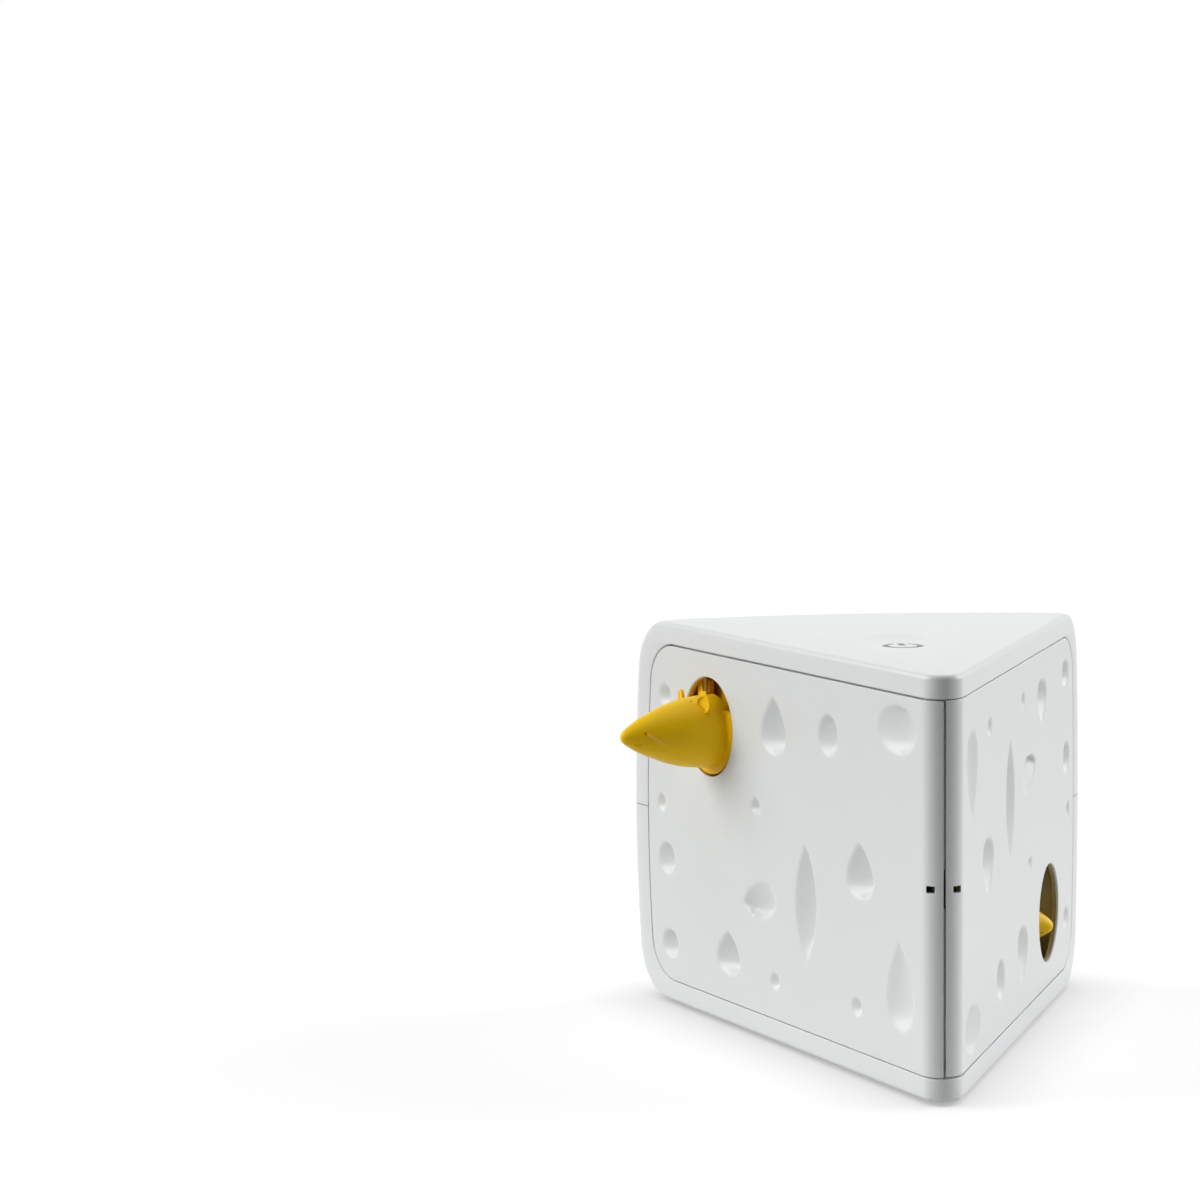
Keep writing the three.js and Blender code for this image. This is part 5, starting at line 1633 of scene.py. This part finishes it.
@dataclass
class Mice:
    """The two toy mice on their pivot rods."""

    toy: Toy
    shape: MouseShape = field(default_factory=MouseShape)
    upper: Head = Head(UPPER_HOLE, 1.6, 0.0)
    lower: Head = Head(LOWER_HOLE, 4.4, math.radians(4.0))
    spindle_y: float = 34.0
    swing: float = math.radians(14.4)

    def build(self) -> None:
        """Builds both mice and reports them. The lower one is swung back to where it rests."""
        self.report("upper", *self.mouse(self.upper))
        pivot = ORIGIN.metres((0.0, self.spindle_y, 0.0))
        swung = Matrix.Rotation(self.swing, 4, "Z")
        move = Matrix.Translation(pivot) @ swung @ Matrix.Translation(-pivot)
        lower = self.mouse(self.lower)
        for obj in lower:
            obj.data.transform(move)
        self.report("lower", *lower)

    def report(self, name: str, mouse: bpy.types.Object, whiskers: bpy.types.Object) -> None:
        """Hands over a mouse and the whiskers moulded on it.

        Args:
            name: Which of the two mice.
            mouse: The mouse.
            whiskers: Its whiskers.
        """
        body = f"{name}_toy_mouse"
        self.toy.hand_over(mouse, body, "mouse_yellow", "mouse_yellow", f"{name}_mouse")
        # the whisker rib's paler finish is a painted highlight
        self.toy.hand_over(whiskers, body, "whisker_painted_highlight", "mouse_yellow")

    def mouse(self, head: Head) -> tuple[bpy.types.Object, bpy.types.Object]:
        """One mouse, looking out of its hole.

        Args:
            head: How its head lies.

        Returns:
            The mouse and its whiskers.
        """
        s, hole = self.shape, head.hole
        mouse = Workshop.skin(f"mouse_{hole.name}", head.rings(s.profile))
        ears = [self.ear(head, hand) for hand in (-1, 1)]
        Workshop.combine(mouse, Cut.JOIN, self.collar(hole), *ears)
        inner = [(radius - s.wall, out) for radius, out in s.profile if radius > 2 * s.wall]
        tip, past = s.hollow_tip
        inner = [(inner[0][0], s.collar_back - s.hollow_past), *inner, (tip, inner[-1][1] + past)]
        Workshop.combine(mouse, Cut.TAKE, Workshop.skin("hollow", head.rings(inner, PLAIN)))
        left, right = s.rod_offset - s.knee_half, s.rod_offset + s.knee_half
        back, front = -s.rod_depth - s.knee_back, -s.rod_depth + s.knee_front
        rise = (-s.knee_bottom, s.knee_top)
        knee = hole.slab((left, right), (back, front), rise, s.knee_edge)
        depth = (back, s.collar_back + s.web_overlap)
        web = hole.slab((left, s.web_reach), depth, (-s.web_bottom, s.notch_height))
        Workshop.combine(mouse, Cut.JOIN, knee, web)
        Workshop.combine(mouse, Cut.TAKE, self.rod_bore(hole), self.rod_groove(hole))
        whiskers = []
        for hand in (-1, 1):
            drills = [head.mark("drill", stroke, hand) for stroke in (s.eye, s.mouth, s.dimple)]
            Workshop.combine(mouse, Cut.TAKE, *drills)
            whiskers.append(head.mark(f"whiskers_{hole.name}", s.whisker, hand))
        Workshop.combine(whiskers[0], Cut.JOIN, whiskers[1])
        return Workshop.smooth(mouse, s.crease), Workshop.smooth(whiskers[0])

    def collar(self, hole: Hole) -> bpy.types.Object:
        """The flat collar round the back of the head, cut off above.

        Args:
            hole: The hole that it fills.

        Returns:
            The collar.
        """
        s = self.shape
        outer, inner = s.collar_radius, s.collar_radius - s.collar_edge
        rows = [
            (inner, s.collar_back), (outer, s.collar_back + s.collar_edge),
            (outer, s.collar_front - s.collar_edge), (inner, s.collar_front),
        ]
        collar = Workshop.skin("collar", hole.rings(rows))
        notch = hole.slab(s.notch_across, s.notch_out, (s.notch_height, s.notch_top))
        return Workshop.combine(collar, Cut.TAKE, notch)

    def rod_bore(self, hole: Hole) -> bpy.types.Object:
        """The bore for the pivot rod.

        Args:
            hole: The hole that the mouse looks out of.

        Returns:
            The cutter.
        """
        s = self.shape
        x, y, _ = hole.place(s.rod_offset, -s.rod_depth, 0.0)
        bore = Post(s.rod_room, hole.height - s.rod_half, hole.height + s.rod_half, SMALL)
        return bore.at((x, y))[0]

    def rod_groove(self, hole: Hole) -> bpy.types.Object:
        """The open groove at the top of the knee, where the rod is seen through its corner.

        Args:
            hole: The hole that the mouse looks out of.

        Returns:
            The cutter.
        """
        s = self.shape
        slope = math.atan2(s.knee_front, s.knee_half)
        ahead = (-math.cos(slope) * s.groove_length, math.sin(slope) * s.groove_length)
        beside = (math.sin(slope) * s.rod_room, math.cos(slope) * s.rod_room)
        corners = []
        for a, b in ((0, -1), (0, 1), (1, 1), (1, -1)):
            across = s.rod_offset + b * beside[0] + a * ahead[0]
            corners.append((across, -s.rod_depth + b * beside[1] + a * ahead[1]))
        levels = (s.knee_top - s.groove_drop, s.knee_top + s.groove_past)
        rings = [[hole.place(across, out, rise) for across, out in corners] for rise in levels]
        return Workshop.skin("rod_groove", rings)

    def ear(self, head: Head, hand: int) -> bpy.types.Object:
        """A small cupped ear.

        Args:
            head: How the head lies.
            hand: -1 or 1 for the ear nearer to the nose of the case or to its back.

        Returns:
            The ear.
        """
        s = self.shape
        cos, sin = math.cos(s.ear_splay * hand), math.sin(s.ear_splay * hand)
        rings = []
        for radius, thick in s.ear_rows:
            ring = []
            for wide, rise in Arc((0.0, 0.0), radius).ring(SMALL):
                across = hand * s.ear_reach + wide * cos + thick * sin
                out = s.ear_out + thick * cos - wide * sin
                ring.append(head.place(across, out, s.ear_rise + rise))
            rings.append(ring)
        return Workshop.skin("ear", rings)


@dataclass
class PowerButton:
    """The round button in the dish, with a collar below that keeps it in its hole."""

    toy: Toy
    place: Flat = (0.0, 111.0)
    radius: float = 8.3
    top: float = 151.5
    skirt: float = 2.2
    edge: float = 0.5
    stem_radius: float = 2.4
    stem_low: float = 142.9
    collar_radius: float = 9.9
    collar_top: float = 147.7
    collar_thick: float = 1.0
    neck_radius: float = 6.7
    dome: tuple[Flat, ...] = ((6.0, 0.04), (3.0, 0.07), (0.4, 0.08))
    crease: float = 40.0

    def build(self) -> None:
        """Builds the button and reports it."""
        collar_low = self.collar_top - self.collar_thick
        skirt_low = self.top - self.skirt
        bevel = self.edge * 0.3
        rows = [
            (self.stem_radius, self.stem_low), (self.stem_radius, collar_low),
            (self.collar_radius, collar_low), (self.collar_radius, self.collar_top),
            (self.neck_radius, self.collar_top), (self.neck_radius, skirt_low),
            (self.radius, skirt_low), (self.radius, self.top - self.edge),
            (self.radius - bevel, self.top - bevel), (self.radius - self.edge, self.top),
            *[(radius, self.top + rise) for radius, rise in self.dome],
        ]
        button = Workshop.skin("button_cap", upright(self.place, rows, FINE))
        Workshop.smooth(button, self.crease)
        self.toy.hand_over(button, "button", "button_print", "button_grey", "power_button")


@dataclass
class Works:
    """The inner works, which keep their CAD shape and get a finish each."""

    toy: Toy
    looks: dict[str, tuple[str, ...]] = field(
        default_factory=lambda: {
            "case_white": ("battery_door",),
            "black_plastic": ("front_clip", "button_switch", "battery_tray"),
            # both guards are one yellow plastic, darkened here as painted shade: brown in the upper
            # hole, olive in the lower
            "guard_yellow": ("upper_guard",),
            "guard_olive_painted_shade": ("lower_guard",),
            "mouse_yellow": ("upper_arm", "lower_arm"),
            # pivot rods: pale cream as a painted reflection of nickel
            "rod_painted_reflection": ("upper_pivot_rod", "lower_pivot_rod"),
            "bright_steel": (
                "upper_arm_screw", "lower_arm_screw", "spindle", "gear_pin", "door_hinge_pin",
                "door_screw", "board_screw_1", "board_screw_2", "case_screw_1", "case_screw_2",
                "case_screw_3", "contact_left", "contact_right",
            ),
            "motor_steel": ("motor",),
            "sintered_bronze": ("upper_bush", "lower_bush", "motor_pinion"),
            "gear_nylon": ("swing_hub", "stepped_gear"),
            "frame_grey": ("gear_frame",),
            "foot_rubber": ("button_boot", "front_foot", "left_foot", "right_foot"),
            "board_green": ("control_board",),
            "cell_jacket": ("cell_1", "cell_2", "cell_3"),
        }
    )

    def dress(self) -> None:
        """Gives each inner piece its finish."""
        for finish, nodes in self.looks.items():
            for node in nodes:
                self.toy.finishes.dress(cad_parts[node], finish)
            log.info("%s covers %s", finish, ", ".join(nodes))


# Studio


@dataclass
class Studio:
    """The floor, the lamps and the camera."""

    lens: float = 109.83
    pitch: float = math.radians(6.0743)
    azimuth: float = math.radians(-4.4127)
    roll: float = math.radians(-0.5367)
    eye: Point = (-229.607, -1311.58, 323.595)
    ambient: float = 0.045
    floor_near: float = 0.665
    floor_far: float = 0.07
    floor_reach: tuple[float, float] = (0.28, 0.6)
    floor_size: float = 30.0
    floor_seen: float = 0.266
    floor_glow: float = 0.78
    # reach, depth and samples of the floor's painted contact shadow
    contact_shadow_reach: float = 0.036
    contact_shadow_depth: float = 0.55
    contact_shadow_samples: int = 8
    sun_width: float = math.radians(46.0)
    bearing: float = 102.0
    rise: float = 25.0
    strength: float = 2.82
    right_share: float = 0.93
    overhead: float = 0.68
    sensor: float = 36.0
    clip: Flat = (0.05, 50.0)
    white: tuple[float, float, float, float] = (1.0, 1.0, 1.0, 1.0)

    def build(self) -> None:
        """Sets up everything that isn't part of the toy."""
        scene = bpy.context.scene
        scene.view_settings.view_transform = "Standard"
        self.world()
        self.floor()
        self.lamps()
        self.camera()

    @staticmethod
    def seen(nodes: Nodes) -> bpy.types.NodeSocket:
        """Is 1 for rays from the camera and in gloss and glass, and 0 for all other rays.

        Args:
            nodes: The nodes that it is added to.

        Returns:
            The socket that gives it.
        """
        total = nodes.add("LightPath", "Is Camera Ray", {})
        rays = total.node.outputs
        for name in ("Is Glossy Ray", "Is Transmission Ray"):
            total = nodes.maths("MAXIMUM", total, rays[name])
        return total

    def world(self) -> None:
        """A plain white surround: white to the eye and faint as light."""
        world = bpy.data.worlds.new("studio")
        bpy.context.scene.world = world
        nodes = Nodes(world, "Background")
        level = nodes.spread(self.seen(nodes), self.ambient, 1.0)
        nodes.feed(nodes.shader, {"Color": self.white, "Strength": level})

    def floor(self) -> None:
        """A wide floor that keeps the toy's shadow: white to the eye, darker as light, with a painted
        contact shadow where ambient occlusion dims its glow near the toy.
        """
        Workshop.deselect()
        bpy.ops.mesh.primitive_plane_add(size=self.floor_size, location=(0.0, 0.0, 0.0))
        floor = bpy.context.object
        floor.name = "floor"
        material = bpy.data.materials.new("floor_white")
        nodes = Nodes(material)
        seen = self.seen(nodes)
        place = nodes.add("TexCoord", "Object", {})
        away = nodes.add("VectorMath", "Value", {0: place}, operation="LENGTH")
        bounce = nodes.spread(away, self.floor_near, self.floor_far)
        near, far = self.floor_reach
        nodes.feed(bounce.node, {"From Min": near, "From Max": far})
        # painted contact shadow: ambient occlusion darkens the floor's glow beside the toy
        contact = nodes.add(
            "AmbientOcclusion", "AO", {"Distance": self.contact_shadow_reach}, samples=self.contact_shadow_samples
        )
        shade = nodes.spread(contact, 1.0 - self.contact_shadow_depth, 1.0)
        glow = nodes.spread(seen, 0.0, self.floor_glow)
        grey = (self.floor_seen, self.floor_seen, self.floor_seen, 1.0)
        looks = {
            "Base Color": nodes.blend(seen, bounce, grey),
            "Roughness": 1.0,
            "Specular IOR Level": 0.0,
            "Emission Color": self.white,
            "Emission Strength": nodes.maths("MULTIPLY", glow, shade),
        }
        nodes.feed(nodes.shader, looks)
        floor.data.materials.append(material)

    def sun(self, name: str, bearing: float, rise: float, strength: float) -> None:
        """One wide soft light from far away.

        Args:
            name: Its name.
            bearing: Where it stands, in degrees from the front towards the right.
            rise: Its height above the floor, in degrees.
            strength: Its strength.
        """
        data = bpy.data.lights.new(name, "SUN")
        data.energy = strength
        data.angle = self.sun_width
        lamp = bpy.data.objects.new(name, data)
        bpy.context.collection.objects.link(lamp)
        turn, lift = math.radians(bearing), math.radians(rise)
        source = Vector(
            (math.sin(turn) * math.cos(lift), -math.cos(turn) * math.cos(lift), math.sin(lift))
        )
        lamp.rotation_mode = "QUATERNION"
        lamp.rotation_quaternion = source.to_track_quat("Z", "Y")

    def lamps(self) -> None:
        """Wide soft lights overhead and on each side, a little behind the toy's shaded nose."""
        self.sun("light_left", -self.bearing, self.rise, self.strength)
        self.sun("light_right", self.bearing, self.rise, self.strength * self.right_share)
        self.sun("light_top", 0.0, 90.0, self.overhead)

    def camera(self) -> None:
        """The camera at the photographed angle."""
        data = bpy.data.cameras.new("camera")
        data.sensor_width = self.sensor
        data.lens = self.lens
        data.clip_start, data.clip_end = self.clip
        camera = bpy.data.objects.new("camera", data)
        bpy.context.collection.objects.link(camera)
        cos, sin = math.cos(self.pitch), math.sin(self.pitch)
        look = Vector((-math.sin(self.azimuth) * cos, math.cos(self.azimuth) * cos, -sin))
        right = Vector((math.cos(self.azimuth), math.sin(self.azimuth), 0.0))
        up = right.cross(look)
        across = right * math.cos(self.roll) + up * math.sin(self.roll)
        upward = -right * math.sin(self.roll) + up * math.cos(self.roll)
        turn = Matrix((across, upward, -look)).transposed()
        camera.matrix_world = Matrix.Translation(ORIGIN.metres(self.eye)) @ turn.to_4x4()
        bpy.context.scene.camera = camera


def main() -> None:
    """Builds the toy and its studio in order."""
    logging.basicConfig(level=logging.INFO, format="%(name)s: %(message)s")
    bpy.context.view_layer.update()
    toy = Toy(Finishes())
    Studio().build()
    Case(toy).build()
    SidePanels(toy).build()
    Linings(toy).build()
    Mice(toy).build()
    PowerButton(toy).build()
    Works(toy).dress()
    log.info("%d pieces made", len(toy.pieces))


if __name__ == "__main__":
    main()
